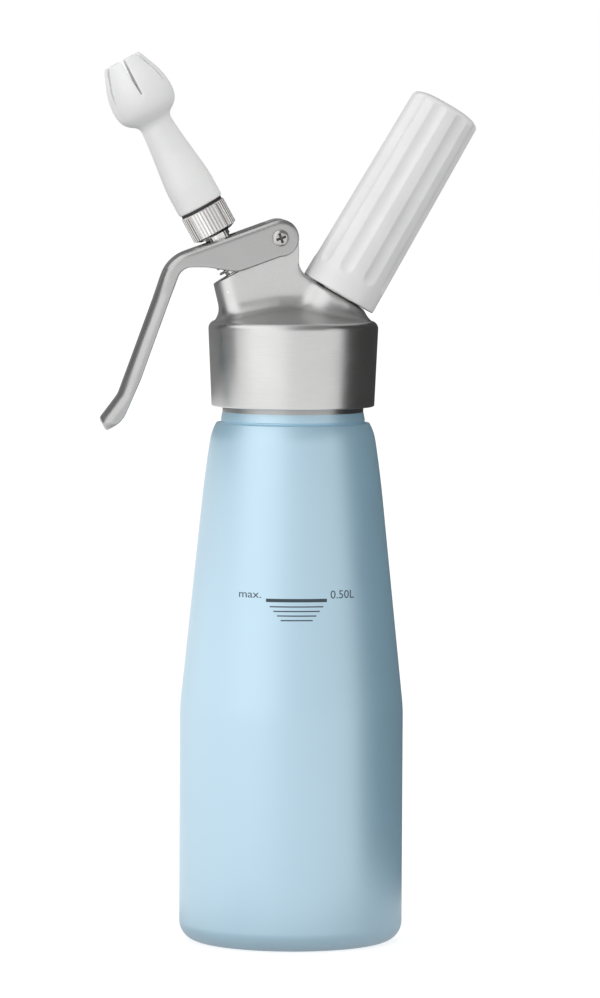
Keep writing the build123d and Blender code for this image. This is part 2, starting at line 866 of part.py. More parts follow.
nozzle_foot = nut_top + nozzle_ring_thickness
insert_bore = spigot_radius + thread_clearance
insert_outer = insert_bore + nozzle_insert_wall
insert_ridge = thread(
    valve_port.offset(nozzle_foot + spigot_pitch),
    insert_bore,
    -spigot_thread_depth,
    spigot_pitch,
    spigot_turns,
)
with BuildPart() as nozzle_insert:
    tube(valve_port.offset(nozzle_foot + insert_step), insert_outer, insert_bore, nozzle_insert_length)
    add(insert_ridge)
finish(nozzle_insert, "nozzle_insert")

nozzle_base = valve_port.offset(nozzle_foot)
socket_top = nozzle_insert_length + insert_step
with BuildPart() as decorator_nozzle:
    with BuildSketch(section_plane(nozzle_base)) as nozzle_section:
        with BuildLine():
            base = Polyline(
                (insert_outer + seat_clearance, 0),
                (nozzle_base_radius - 0.4, 0),
                (nozzle_base_radius, 0.4),
                (nozzle_base_radius, nozzle_base_height),
            )
            cone = Spline(
                base @ 1,
                (nozzle_waist_radius + 1.0, nozzle_waist_height - waist_run),
                (nozzle_waist_radius, nozzle_waist_height),
                tangents=((-0.02, 1), (-0.03, 1)),
            )
            bulb = Spline(
                cone @ 1,
                (bulb_radius * 0.8, bulb_height - bulb_foot),
                (bulb_radius, bulb_height),
                (bulb_radius * 0.86, bulb_height + bulb_taper),
                (bulb_tip_radius + 0.9, nozzle_length - 0.9),
                tangents=((0.6, 1), (-0.75, 1)),
            )
            lip = Polyline(
                bulb @ 1,
                (bulb_tip_radius, nozzle_length),
                (bulb_tip_radius + 0.9 - bulb_wall, nozzle_length),
            )
            hollow = Spline(
                lip @ 1,
                (bulb_radius - bulb_wall, bulb_height + 2.5),
                (nozzle_waist_radius - nozzle_wall, bulb_floor),
                tangents=((0.7, -1), (-0.9, -0.6)),
            )
            Polyline(
                hollow @ 1,
                (nozzle_waist_radius - nozzle_wall, nozzle_waist_height),
                (channel_radius, socket_top + 2),
                (channel_radius, socket_top),
                (insert_outer + seat_clearance, socket_top),
                base @ 0,
            )
        make_face()
    revolve(nozzle_section.sketch, axis=Axis(nozzle_base.origin, nozzle_base.z_dir))
    tip_level = nozzle_base.offset(nozzle_length)
    for index in range(slot_count):
        turned_level = tip_level.rotated((0, 0, 360 * index / slot_count - 90))
        slot_face = Plane(
            origin=turned_level.origin, x_dir=turned_level.y_dir, z_dir=turned_level.x_dir
        )
        with BuildSketch(slot_face) as slot_outline:
            with BuildLine():
                Polyline(
                    (-slot_width / 2, 1),
                    (slot_width / 2, 1),
                    (slot_root_width / 2, -slot_length),
                    (-slot_root_width / 2, -slot_length),
                    close=True,
                )
            make_face()
        extrude(slot_outline.sketch, amount=2 * bulb_radius, mode=Mode.SUBTRACT)
finish(decorator_nozzle, "decorator_nozzle")

# ================================================================ INLET VALVE
with BuildPart() as inlet_body:
    turn(
        inlet_port,
        (gas_bore, nose_foot + 1.5),
        (0, nose_foot + 1.5),
        (0, nose_foot),
        (nose_radius, nose_foot),
        (nose_radius, inlet_body_foot),
        (inlet_body_radius, inlet_body_foot),
        (inlet_body_radius, socket_floor),
        (inlet_flange_radius, socket_floor),
        (inlet_flange_radius, socket_floor + inlet_flange_height),
        (gas_bore, socket_floor + inlet_flange_height),
    )
    gas_level = inlet_port.offset((nose_foot + inlet_body_foot) / 2)
    cross_hole = Plane(origin=gas_level.origin, x_dir=gas_level.z_dir, z_dir=gas_level.x_dir)
    tube(cross_hole.offset(-nose_radius - 1), gas_hole, 0, 2 * nose_radius + 2, mode=Mode.SUBTRACT)
finish(inlet_body, "inlet_body")

with BuildPart() as check_sleeve:
    tube(
        inlet_port.offset(nose_foot + 0.5),
        nose_radius + sleeve_wall,
        nose_radius + seat_clearance,
        inlet_body_foot - nose_foot - 0.6,
    )
finish(check_sleeve, "check_sleeve")

gasket_foot = socket_floor + inlet_flange_height
charger_foot = gasket_foot + charger_gasket_thickness
with BuildPart() as piercing_pin:
    turn(
        inlet_port,
        (0, gasket_foot - pin_depth),
        (pin_radius, gasket_foot - pin_depth),
        (pin_radius, charger_foot + 0.4),
        (0.1, charger_foot + pin_reach),
        (0, charger_foot + pin_reach),
    )
finish(piercing_pin, "piercing_pin")

with BuildPart() as charger_gasket:
    tube(
        inlet_port.offset(gasket_foot),
        socket_radius - side_gap,
        charger_gasket_bore,
        charger_gasket_thickness,
    )
finish(charger_gasket, "charger_gasket")

# ================================================================ CHARGER
charger_base = inlet_port.offset(charger_foot)
with BuildPart() as charger:
    with BuildSketch(section_plane(charger_base)) as charger_section:
        with BuildLine():
            neck_line = Polyline(
                (pierced_radius, 0),
                (charger_neck_radius, 0),
                (charger_neck_radius, charger_neck_length),
            )
            shoulder_line = Spline(
                neck_line @ 1,
                (charger_radius, charger_shoulder),
                tangents=((0.25, 1), (0, 1)),
            )
            side_line = Line(shoulder_line @ 1, (charger_radius, charger_length - charger_radius))
            dome_line = TangentArc(side_line @ 1, (0, charger_length), tangent=(0, 1))
            inner_top = Line(dome_line @ 1, (0, charger_length - charger_wall))
            inner_dome = TangentArc(
                (charger_radius - charger_wall, charger_length - charger_radius),
                inner_top @ 1,
                tangent=(0, 1),
            )
            inner_side = Line(inner_dome @ 0, (charger_radius - charger_wall, charger_shoulder))
            inner_shoulder = Spline(
                inner_side @ 1,
                (charger_neck_radius - charger_wall, charger_neck_length),
                tangents=((0, -1), (-0.25, -1)),
            )
            Polyline(
                inner_shoulder @ 1,
                (charger_neck_radius - charger_wall, charger_wall),
                (pierced_radius, charger_wall),
                neck_line @ 0,
            )
        make_face()
    revolve(charger_section.sketch, axis=Axis(charger_base.origin, charger_base.z_dir))
finish(charger, "charger")

# ================================================================ CHARGER HOLDER
charger_top = charger_foot + charger_length
pad_top = charger_top + pad_thickness
holder_insert_bore = inlet_spigot_radius + thread_clearance
holder_insert_outer = holder_insert_bore + insert_wall
holder_ridge = thread(
    inlet_port.offset(inlet_thread_start + inlet_pitch / 2),
    holder_insert_bore,
    -inlet_spigot_depth,
    inlet_pitch,
    inlet_turns,
)
with BuildPart() as holder_insert:
    tube(
        inlet_port.offset(holder_foot + insert_step),
        holder_insert_outer,
        holder_insert_bore,
        holder_insert_length,
    )
    add(holder_ridge)
finish(holder_insert, "holder_insert")

holder_base = inlet_port.offset(holder_foot)
holder_length = pad_top + holder_end_wall - holder_foot
insert_room = holder_insert_length + insert_step
holder_draft = atan2(holder_foot_radius - holder_top_radius, holder_length)
# the cutter of one flute: a round bar with a round end, leaning with the holder's draft
flute_line = Plane(
    origin=(holder_foot_radius - flute_depth + flute_radius, 0, flute_start + flute_radius / 2),
    x_dir=(0, 1, 0),
    z_dir=(-sin(holder_draft), 0, cos(holder_draft)),
)
with BuildPart() as flute:
    with BuildSketch(section_plane(flute_line)) as flute_section:
        with BuildLine():
            CenterArc((0, 0), flute_radius, -90, 90)
            Polyline(
                (flute_radius, 0),
                (flute_radius, holder_length),
                (0, holder_length),
                (0, -flute_radius),
            )
        make_face()
    revolve(flute_section.sketch, axis=Axis(flute_line.origin, flute_line.z_dir))

with BuildPart() as fluted_shell:
    with BuildSketch(Plane.XZ):
        with BuildLine():
            outer_line = FilletPolyline(
                (holder_insert_outer + seat_clearance, 0),
                (holder_foot_radius, 0),
                (holder_top_radius, holder_length),
                (0, holder_length),
                radius=[0.5, holder_rounding],
            )
            Polyline(
                outer_line @ 1,
                (0, pad_top - holder_foot),
                (holder_bore, pad_top - holder_foot),
                (holder_bore, insert_room),
                (holder_insert_outer + seat_clearance, insert_room),
                outer_line @ 0,
            )
        make_face()
    revolve(axis=Axis.Z)
    for index in range(flute_count):
        direction = flute_phase + index * 360 / flute_count
        add(flute.part.rotate(Axis.Z, direction), mode=Mode.SUBTRACT)
with BuildPart() as holder_shell:
    add(fluted_shell.part.moved(holder_base.location))
finish(holder_shell, "holder_shell")

with BuildPart() as holder_pad:
    tube(inlet_port.offset(charger_top), holder_bore - pad_side, 0, pad_thickness)
finish(holder_pad, "holder_pad")
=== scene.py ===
# %% [markdown]
# # A whipped cream dispenser
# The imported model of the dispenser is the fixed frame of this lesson. Around it we model each
# visible piece again with Blender's own tools: turned shells, a cast head, a cast lever, a
# soft white nozzle, a fluted holder. Every piece then gets a finish made of shader nodes.
# Lengths are written in millimetres and turned into metres where a vertex is placed.

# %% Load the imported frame
import json
from math import ceil, copysign, cos, hypot, pi, radians, sin, sqrt, tan

import bmesh
import bpy
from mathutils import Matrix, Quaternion, Vector

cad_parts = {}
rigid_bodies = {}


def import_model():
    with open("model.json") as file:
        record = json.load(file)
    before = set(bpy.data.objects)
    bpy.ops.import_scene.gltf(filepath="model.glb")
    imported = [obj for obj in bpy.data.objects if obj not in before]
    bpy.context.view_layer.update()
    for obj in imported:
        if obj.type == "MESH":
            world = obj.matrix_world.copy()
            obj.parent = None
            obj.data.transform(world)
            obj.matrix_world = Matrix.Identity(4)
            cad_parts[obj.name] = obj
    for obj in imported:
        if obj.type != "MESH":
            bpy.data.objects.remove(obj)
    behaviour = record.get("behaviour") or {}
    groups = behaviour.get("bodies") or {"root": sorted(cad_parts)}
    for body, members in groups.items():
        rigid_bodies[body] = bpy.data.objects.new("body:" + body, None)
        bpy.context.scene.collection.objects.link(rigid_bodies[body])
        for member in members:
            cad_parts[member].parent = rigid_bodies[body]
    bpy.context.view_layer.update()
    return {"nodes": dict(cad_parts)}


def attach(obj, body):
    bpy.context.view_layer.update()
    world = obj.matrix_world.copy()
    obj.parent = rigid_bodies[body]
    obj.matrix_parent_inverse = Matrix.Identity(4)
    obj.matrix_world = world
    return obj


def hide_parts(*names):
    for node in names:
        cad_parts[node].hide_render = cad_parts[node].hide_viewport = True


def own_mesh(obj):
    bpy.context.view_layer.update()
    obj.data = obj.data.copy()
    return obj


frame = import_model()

MM = 0.001
nodes = frame["nodes"]

# %% [markdown]
# ## Camera
# The lens is long and stands far away, so the bottle's sides stay almost parallel. It stands
# as high as the nozzle's tip and looks slightly down.

# %% Set up the camera
CAMERA_PLACE = (-200.46, -2291.25, 319.0)
CAMERA_AIM = (2.69, -0.235, 158.6)
CAMERA_ROLL = radians(0.3)
LENS = 232.3

bpy.ops.object.camera_add(location=Vector(CAMERA_PLACE) * MM)
camera = bpy.context.object
camera.data.lens = LENS
camera.data.sensor_width = 36.0
camera.data.clip_end = 20.0
line_of_sight = (Vector(CAMERA_AIM) - Vector(CAMERA_PLACE)).to_track_quat("-Z", "Y")
camera.rotation_euler = (line_of_sight @ Quaternion((0, 0, 1), CAMERA_ROLL)).to_euler()
bpy.context.scene.camera = camera
bpy.context.scene.view_settings.view_transform = "Standard"
print("camera at", tuple(round(value, 3) for value in camera.location))

# %% [markdown]
# ## Outlines
# Most pieces of a dispenser are turned or cast, so each starts as an outline: half of a
# section for a turned piece, the side view for a cast one. An outline is a list of corners
# with a radius at each corner. Rounding the corners in code keeps the numbers readable.


# %% Helpers that draw outlines
def turned(vector, angle):
    """A flat vector turned anticlockwise by an angle."""
    return Vector((
        vector.x * cos(angle) - vector.y * sin(angle),
        vector.x * sin(angle) + vector.y * cos(angle),
    ))


def rounded(corners, closed=False, fine=0.5):
    """The points of a line through (x, z, radius) corners, each corner rounded to its radius."""
    points = []
    for index, (x, z, radius) in enumerate(corners):
        corner = Vector((x, z))
        if radius == 0 or (not closed and index in (0, len(corners) - 1)):
            points.append(corner)
            continue
        before = (Vector(corners[index - 1][:2]) - corner).normalized()
        after = (Vector(corners[(index + 1) % len(corners)][:2]) - corner).normalized()
        half = before.angle(after) / 2
        centre = corner + (before + after).normalized() * radius / sin(half)
        start = corner + before * radius / tan(half) - centre
        sweep = copysign(pi - 2 * half, before.y * after.x - before.x * after.y)
        steps = max(2, ceil(abs(sweep) * radius / fine), ceil(abs(sweep) / radians(12)))
        points += [centre + turned(start, sweep * k / steps) for k in range(steps + 1)]
    return points


def arc_on(points, end, steps=10):
    """Carry a line on to end, with the one arc that leaves it smoothly."""
    start = points[-1]
    along = (start - points[-2]).normalized()
    chord = Vector(end) - start
    lean = copysign(along.angle(chord), along.x * chord.y - along.y * chord.x)
    for k in range(1, steps + 1):
        reach = chord.length * sin(lean * k / steps) / sin(lean)
        points.append(start + turned(along, lean * k / steps) * reach)


def flowing(knots, steps=6):
    """The points of a smooth line through knots."""
    knots = [Vector(knot) for knot in knots]
    padded = [2 * knots[0] - knots[1], *knots, 2 * knots[-1] - knots[-2]]
    points = []
    for a, b, c, d in zip(padded, padded[1:], padded[2:], padded[3:]):
        for k in range(steps):
            t = k / steps
            points.append(
                0.5 * (2 * b + (c - a) * t + (2 * a - 5 * b + 4 * c - d) * t**2
                       + (3 * b - a - 3 * c + d) * t**3)
            )
    return points + [knots[-1]]


# %% [markdown]
# ## From an outline to a piece
# By hand, one draws an outline by extruding a single vertex from point to point. A turned
# piece is then spun round its axis, and a cast one is filled and extruded. The spin leaves a
# seam of double vertices, so they are merged, and the normals are made to point outwards.


# %% Helpers that turn outlines into meshes
def only(piece):
    """Select one object and nothing else."""
    bpy.ops.object.select_all(action="DESELECT")
    piece.select_set(True)
    bpy.context.view_layer.objects.active = piece


def edit(piece, picked=True):
    """Open a piece in edit mode with everything selected, or nothing."""
    only(piece)
    bpy.ops.object.mode_set(mode="EDIT")
    bpy.ops.mesh.select_all(action="SELECT" if picked else "DESELECT")


def trace(name, points, closed=False):
    """Draw points in the X-Z plane: a plane merged to one vertex, which is extruded on."""
    bpy.ops.object.select_all(action="DESELECT")
    bpy.ops.mesh.primitive_plane_add(size=MM, location=(0, 0, 0))
    piece = bpy.context.object
    piece.name = name
    piece.data.name = name
    bpy.ops.object.mode_set(mode="EDIT")
    bpy.ops.mesh.merge(type="CENTER")
    line = [Vector((point[0], 0, point[1])) * MM for point in points]
    if closed:
        line.append(line[0])
    bpy.ops.transform.translate(value=line[0])
    for before, after in zip(line, line[1:]):
        bpy.ops.mesh.extrude_vertices_move(TRANSFORM_OT_translate={"value": after - before})
    bpy.ops.mesh.select_all(action="SELECT")
    if closed:
        bpy.ops.mesh.remove_doubles(threshold=0.001 * MM)
    return piece


def tidy_normals():
    """Merge double vertices of the mesh in edit mode and point its faces outwards."""
    bpy.ops.mesh.select_all(action="SELECT")
    bpy.ops.mesh.remove_doubles(threshold=0.002 * MM)
    bpy.ops.mesh.normals_make_consistent(inside=False)
    bpy.ops.object.mode_set(mode="OBJECT")


def lathe(name, points, steps=128, closed=False):
    """Spin an outline of (radius, height) points round the Z axis."""
    piece = trace(name, points, closed)
    bpy.ops.mesh.spin(steps=steps, angle=2 * pi, center=(0, 0, 0), axis=(0, 0, 1))
    tidy_normals()
    return piece


def slab(name, points, half_width):
    """Fill a closed outline of the X-Z plane and extrude it to both sides of Y = 0."""
    piece = trace(name, points, closed=True)
    bpy.ops.mesh.edge_face_add()
    bpy.ops.transform.translate(value=(0, -half_width * MM, 0))
    bpy.ops.mesh.extrude_region_move(
        TRANSFORM_OT_translate={"value": (0, 2 * half_width * MM, 0)}
    )
    tidy_normals()
    return piece


def apply_place(piece):
    """Put a piece's place, turn and scale into its mesh."""
    only(piece)
    bpy.ops.object.transform_apply(location=True, rotation=True, scale=True)
    return piece


def modify(piece, kind, **settings):
    """Add a modifier, set it up and apply it."""
    only(piece)
    modifier = piece.modifiers.new(kind.title(), kind)
    for name, value in settings.items():
        setattr(modifier, name, value)
    bpy.ops.object.modifier_apply(modifier=modifier.name)
    return piece


def boolean(piece, tool, operation="DIFFERENCE"):
    """Cut a tool out of a piece, or add or intersect it, and throw the tool away."""
    modify(piece, "BOOLEAN", operation=operation, object=tool, solver="EXACT")
    bpy.data.objects.remove(tool)
    return piece


def join(piece, *others):
    """Make several objects one object."""
    only(piece)
    for other in others:
        other.select_set(True)
    bpy.ops.object.join()
    return piece


def recast(piece, voxel, smoothing):
    """Melt overlapping shells into one skin of small even faces, then relax it."""
    modify(piece, "REMESH", mode="VOXEL", voxel_size=voxel * MM)
    if smoothing:
        modify(piece, "SMOOTH", factor=0.5, iterations=smoothing)
    return piece


def shade(piece, degrees=35):
    """Smooth shading that leaves sharp edges sharp."""
    only(piece)
    bpy.ops.object.shade_smooth_by_angle(angle=radians(degrees))
    return piece


def wind(piece, pitch, turns, steps):
    """Carry a closed outline in edit mode round the Z axis and up, and close the coil's ends."""
    bpy.ops.object.mode_set(mode="OBJECT")
    modify(
        piece, "SCREW", axis="Z", screw_offset=pitch * MM, angle=2 * pi,
        iterations=turns, steps=steps, render_steps=steps, use_merge_vertices=False,
    )
    edit(piece)
    bpy.ops.mesh.fill_holes(sides=20)
    tidy_normals()
    return piece


def ridge(name, root, depth, pitch, turns, foot):
    """A screw thread: a small trapezoid wound up a root that it is sunk into a little."""
    sunk = -0.15 if depth > 0 else 0.15
    outline = [
        (root + sunk, foot - pitch / 4),
        (root + depth, foot - pitch * 0.135),
        (root + depth, foot + pitch * 0.135),
        (root + sunk, foot + pitch / 4),
    ]
    return wind(trace(name, outline, closed=True), pitch, turns, 64)


def plug(name, radius, low, high, steps=72):
    """A round bar on the Z axis."""
    return lathe(name, [(0, low), (radius, low), (radius, high), (0, high)], steps=steps)


def crossbar(name, radius, half_length, x, z, steps=48):
    """A round bar across the object, through a point of the X-Z plane."""
    made = plug(name, radius, -half_length, half_length, steps)
    made.rotation_euler = (pi / 2, 0, 0)
    made.location = Vector((x, 0, z)) * MM
    return apply_place(made)


# %% [markdown]
# ## The two ports
# The valve leans to the left and the charger's port to the right. What belongs to a port is
# modelled upright, with its height along the port's axis, and is then leaned over in one move.

# %% Lean a piece over to its port
# where a port's axis crosses the bottle's, and how far it leans
VALVE_PORT = (203.2, radians(-29.0))
INLET_PORT = (204.4, radians(30.0))


def lean_to(port, piece):
    """Stand an upright piece on a port's axis."""
    crossing, tilt = port
    piece.location = (0, 0, crossing * MM)
    piece.rotation_euler = (0, tilt, 0)
    return apply_place(piece)


def on_port(port, across, height):
    """The (x, z) point of a port's frame: across the axis, and along it."""
    crossing, tilt = port
    return (
        across * cos(tilt) + height * sin(tilt),
        crossing - across * sin(tilt) + height * cos(tilt),
    )


# %% [markdown]
# ## Bottle
# The bottle is drawn and spun metal with a threaded neck. One outline runs from the
# axis over the outside, the rim and the inside back to it, so a single spin gives a real wall.
# The thread is a ridge of its own that sits on the neck.

# %% Turn the bottle
BOTTLE_RADIUS, WALL, FLOOR = 40.0, 1.6, 2.6
SIDE_TOP, SIDE_BLEND = 84.0, 60.0
CONE_TOP, CONE_TOP_RADIUS = 158.0, 32.4
RIM, NECK_BORE, NECK_ROOT, NECK_CREST = 214.0, 22.6, 24.2, 25.2
THREAD_DEPTH, NECK_PITCH = 1.0, 3.5
outside = [Vector((0, 0.3)), Vector((23.2, 0.3)), Vector((23.6, 0.8)), Vector((26.4, 0.8))]
outside += rounded([
    (26.8, 0, 0), (BOTTLE_RADIUS, 0, 7.0), (BOTTLE_RADIUS, SIDE_TOP, SIDE_BLEND),
    (CONE_TOP_RADIUS, CONE_TOP, 0),
], fine=1.2)
arc_on(outside, (29.6, 179.7))
arc_on(outside, (27.4, 186.0))
neck = rounded([
    (26.0, 186.3, 0), (25.5, 186.7, 0.2), (25.8, 187.1, 0.2), (NECK_CREST, 190.0, 0.5),
    (NECK_CREST, 194.0, 0.4), (NECK_ROOT, 195.0, 0.4), (NECK_ROOT, RIM, 0.5), (NECK_BORE, RIM, 0.5),
    (NECK_BORE, 186.0, 0),
])
inside = rounded([
    (0, FLOOR, 0), (BOTTLE_RADIUS - WALL, FLOOR, 5.4), (BOTTLE_RADIUS - WALL, SIDE_TOP, SIDE_BLEND),
    (CONE_TOP_RADIUS - WALL, CONE_TOP, 0),
], fine=1.6)
arc_on(inside, (28.0, 179.7))
arc_on(inside, (25.8, 185.2), steps=5)
bottle = lathe("bottle_shell", outside + neck + inside[::-1], steps=160)
join(bottle, ridge("neck_thread", NECK_ROOT, THREAD_DEPTH, NECK_PITCH, 4, 195.75))
shade(bottle)
print("bottle faces:", len(bottle.data.polygons))

# %% [markdown]
# ## Skirt of the head
# The skirt is the turned part of the head: a cup that screws over the neck. It keeps crisp
# turned edges, so it is a spin of its own, apart from the soft casting that stands on it.

# %% Turn the skirt
HEAD_BORE, HEAD_SEAT = 25.4, 216.4
SKIRT_FOOT, SKIRT_TOP = 192.0, 222.6
skirt_line = [Vector((0, 219.5)), Vector((19.5, 219.5)), Vector((19.5, HEAD_SEAT))]
skirt_line += rounded([
    (HEAD_BORE, HEAD_SEAT, 0), (HEAD_BORE, SKIRT_FOOT, 0.4), (29.1, SKIRT_FOOT, 0.5),
    (30.5, SKIRT_TOP, 2.9), (27.0, SKIRT_TOP, 0), (27.0, 222.1, 0), (0, 222.1, 0),
], fine=0.4)
skirt = lathe("head_skirt", skirt_line, steps=180)
join(skirt, ridge("skirt_thread", HEAD_BORE, -THREAD_DEPTH, NECK_PITCH, 3, 197.5))
shade(skirt)
print("skirt faces:", len(skirt.data.polygons))

# %% [markdown]
# ## Head casting
# The low dome, the valve turret, the lug and the charger's boss are one casting, and what
# makes it look cast is the hollow curve where they meet. Rough solids are melted into one
# skin, which is blown up, melted again and drawn back in small steps. Inside corners come
# out round, as with a fillet, and outside edges stay where they were. Pockets and bores are
# cut afterwards, so they stay crisp.

# %% Rough solids of the casting
HALF_WIDTH = 7.4                      # of turret and lug
LUG = (-5.5, 252.2)                   # the lever's pivot
LUG_LEFT, LUG_RIGHT, LUG_TOP = -11.7, 1.3, 258.4
SEAT = 42.1                           # of the turret, along the valve's port
BOSS_FACE, BOSS_RADIUS = 31.75, 12.2  # the face along the inlet's port
BOTTOM, CASTING_FOOT = 221.0, 222.3   # before the cut over the skirt, and after it
PROUD = 1.4                           # how far the turret stands over its seat at first
COLUMN_HEIGHT = 22.0
COLUMN_FOOT, COLUMN_LEAN = -17.9, -5.2 / COLUMN_HEIGHT


def seat_z(x):
    """Height of the turret's slanted seat above a point of the X axis."""
    return VALVE_PORT[0] + (SEAT + x * sin(-VALVE_PORT[1])) / cos(VALVE_PORT[1])


def column_x(z):
    """Where the axis of the turret's round end lies at height z."""
    return COLUMN_FOOT + COLUMN_LEAN * (z - BOTTOM)


def boss_face_z(x):
    """Height of the charger boss's slanted face above a point of the X axis."""
    return INLET_PORT[0] + (BOSS_FACE - x * sin(INLET_PORT[1])) / cos(INLET_PORT[1])


dome = lathe("dome", rounded([
    (0, BOTTOM, 0), (28.6, BOTTOM, 0), (28.6, 222.32, 0), (13.0, 226.7, 10.0), (0, 227.2, 0),
]), steps=96)
turret = slab("turret", [
    (column_x(BOTTOM), BOTTOM), (column_x(240.3), 240.3), (LUG_RIGHT, seat_z(LUG_RIGHT) + PROUD),
    (LUG_RIGHT, BOTTOM),
], HALF_WIDTH)
lug_foot = slab("lug_foot", [
    (-9.0, 230.0), (-9.0, 247.0), (1.15, 247.0), (1.15, boss_face_z(1.15)), (7.8, boss_face_z(7.8)),
    (7.8, 230.0),
], HALF_WIDTH - 0.05)
boss = lathe("boss", rounded([
    (0, 18.0, 0), (BOSS_RADIUS, 18.0, 0), (BOSS_RADIUS, BOSS_FACE, 1.9), (0, BOSS_FACE, 0),
], fine=0.3), steps=96)
lean_to(INLET_PORT, boss)

# the turret's round end is a leaning column, cut off along the seat; both stand a little
# proud of the seat for now
bpy.ops.mesh.primitive_circle_add(
    vertices=64, radius=HALF_WIDTH * MM, fill_type="NGON", location=(0, 0, 0)
)
column = bpy.context.object
edit(column)
bpy.ops.transform.translate(value=Vector((COLUMN_FOOT, 0, BOTTOM)) * MM)
bpy.ops.mesh.extrude_region_move(
    TRANSFORM_OT_translate={"value": Vector((COLUMN_HEIGHT * COLUMN_LEAN, 0, COLUMN_HEIGHT)) * MM}
)
bpy.ops.mesh.select_all(action="SELECT")
bpy.ops.mesh.bisect(
    plane_co=Vector((0, 0, seat_z(0) + PROUD)) * MM,
    plane_no=(-sin(-VALVE_PORT[1]), 0, cos(VALVE_PORT[1])),
    use_fill=True, clear_outer=True,
)
tidy_normals()
casting = join(dome, turret, lug_foot, boss, column)
casting.name = "head_casting"
print("casting starts with", len(casting.data.polygons), "faces")

# %% Round the inside corners
FILLET, DRAW_BACKS, VOXEL, FINE_VOXEL = 5.0, 5, 0.45, 0.36
recast(casting, VOXEL, 0)
modify(casting, "DISPLACE", direction="NORMAL", strength=FILLET * MM, mid_level=0)
recast(casting, VOXEL, 1)
for _ in range(DRAW_BACKS):
    modify(casting, "DISPLACE", direction="NORMAL", strength=-FILLET / DRAW_BACKS * MM, mid_level=0)
    recast(casting, VOXEL, 2)
print("casting has", len(casting.data.polygons), "faces")

# %% Add the lug and cut the casting to size
lug = slab("lug", rounded([
    (LUG_LEFT, 236.0, 0), (LUG_LEFT, LUG_TOP, 6.2), (0.7, LUG_TOP, 6.2), (0.75, 250.8, 1.5),
    (LUG_RIGHT, 249.0, 1.5), (LUG_RIGHT, 243.6, 0), (-2.0, 236.0, 0),
], closed=True, fine=0.4), HALF_WIDTH)
join(casting, lug)
recast(casting, FINE_VOXEL, 3)
edit(casting)
bpy.ops.mesh.bisect(
    plane_co=(0, 0, CASTING_FOOT * MM), plane_no=(0, 0, 1), use_fill=True, clear_inner=True
)
tidy_normals()
CLEAR_LEFT, CLEAR_TOP = -36.0, 265.0
above_seat = slab("above_seat", [
    (LUG_LEFT, seat_z(LUG_LEFT)), (LUG_LEFT, CLEAR_TOP), (CLEAR_LEFT, CLEAR_TOP),
    (CLEAR_LEFT, seat_z(CLEAR_LEFT)),
], 15.0)
boolean(casting, above_seat)
print("casting has", len(casting.data.polygons), "faces")


# %% [markdown]
# ## Pockets, bores and the spigot
# The valve's pocket, its bore and the socket of the inlet are bored where the stem and the
# inlet valve need them. The spigot that the charger's holder screws onto is a turned piece of
# its own, thread and all, that stands on the boss.


# %% Bore the head
def drill(port, radius, low, high):
    """A round cutter on a port's axis, between two heights along it."""
    return lean_to(port, plug("drill", radius, low, high))


POCKET_FLOOR, SOCKET_FLOOR, PORT_MOUTH = 34.5, 33.0, 46.0
SOCKET_RADIUS, PIVOT_RADIUS = 5.2, 2.25
SPIGOT_RADIUS, SPIGOT_END = 9.1, 44.0
VALVE_BORE = (VALVE_PORT, 4.8, 9.4, POCKET_FLOOR)
INLET_BORE = (INLET_PORT, 4.2, 13.8, SOCKET_FLOOR)
for hole in (
    (VALVE_PORT, 6.1, POCKET_FLOOR, PORT_MOUTH), VALVE_BORE,
    (INLET_PORT, SOCKET_RADIUS, SOCKET_FLOOR, PORT_MOUTH), INLET_BORE,
):
    boolean(casting, drill(*hole))
for hole in (VALVE_BORE, INLET_BORE):
    boolean(skirt, drill(*hole))
boolean(casting, crossbar("pivot_bore", PIVOT_RADIUS, 9.0, *LUG))
spigot = lathe("charger_spigot", rounded([
    (SOCKET_RADIUS, BOSS_FACE - 0.1, 0), (8.8, BOSS_FACE - 0.1, 0), (8.8, 33.7, 0.2),
    (SPIGOT_RADIUS, 33.7, 0), (SPIGOT_RADIUS, SPIGOT_END, 0.5), (SOCKET_RADIUS, SPIGOT_END, 0.3),
], closed=True, fine=0.2), steps=96, closed=True)
join(spigot, ridge("spigot_thread", SPIGOT_RADIUS, 0.8, 2.0, 4, 34.9))
lean_to(INLET_PORT, spigot)
shade(spigot)
print("casting has", len(casting.data.polygons), "faces after boring")

# %% [markdown]
# ## Lever
# The lever is cast too. Its side view is one closed outline: a round ear at the pivot, two
# cheeks, a bend, the long handle and a kinked tip. The outline is filled, rungs are drawn
# across it so that it can narrow evenly, and it is extruded. Beveled rims give it the soft
# edges of a casting. The pocket between the cheeks is cut last.

# %% Outline of the lever
ARM = radians(20.0)
EAR = 6.7


def from_pivot(along, above):
    """A point measured along the arm from the pivot, and square above it."""
    return (
        LUG[0] - along * cos(ARM) - above * sin(ARM),
        LUG[1] - along * sin(ARM) + above * cos(ARM),
    )


def ear_arc(first, last, steps):
    """Points of the ear's round end between two angles in degrees."""
    return [
        Vector((
            LUG[0] + EAR * cos(radians(first + (last - first) * k / steps)),
            LUG[1] + EAR * sin(radians(first + (last - first) * k / steps)),
        ))
        for k in range(steps + 1)
    ]


def even(points, count):
    """The same line with count + 1 evenly spaced points."""
    lengths = [0.0]
    for before, after in zip(points, points[1:]):
        lengths.append(lengths[-1] + (after - before).length)
    result, span = [], 0
    for k in range(count + 1):
        goal = lengths[-1] * k / count
        while span < len(points) - 2 and lengths[span + 1] < goal:
            span += 1
        share = (goal - lengths[span]) / (lengths[span + 1] - lengths[span])
        result.append(points[span].lerp(points[span + 1], min(1.0, share)))
    return result


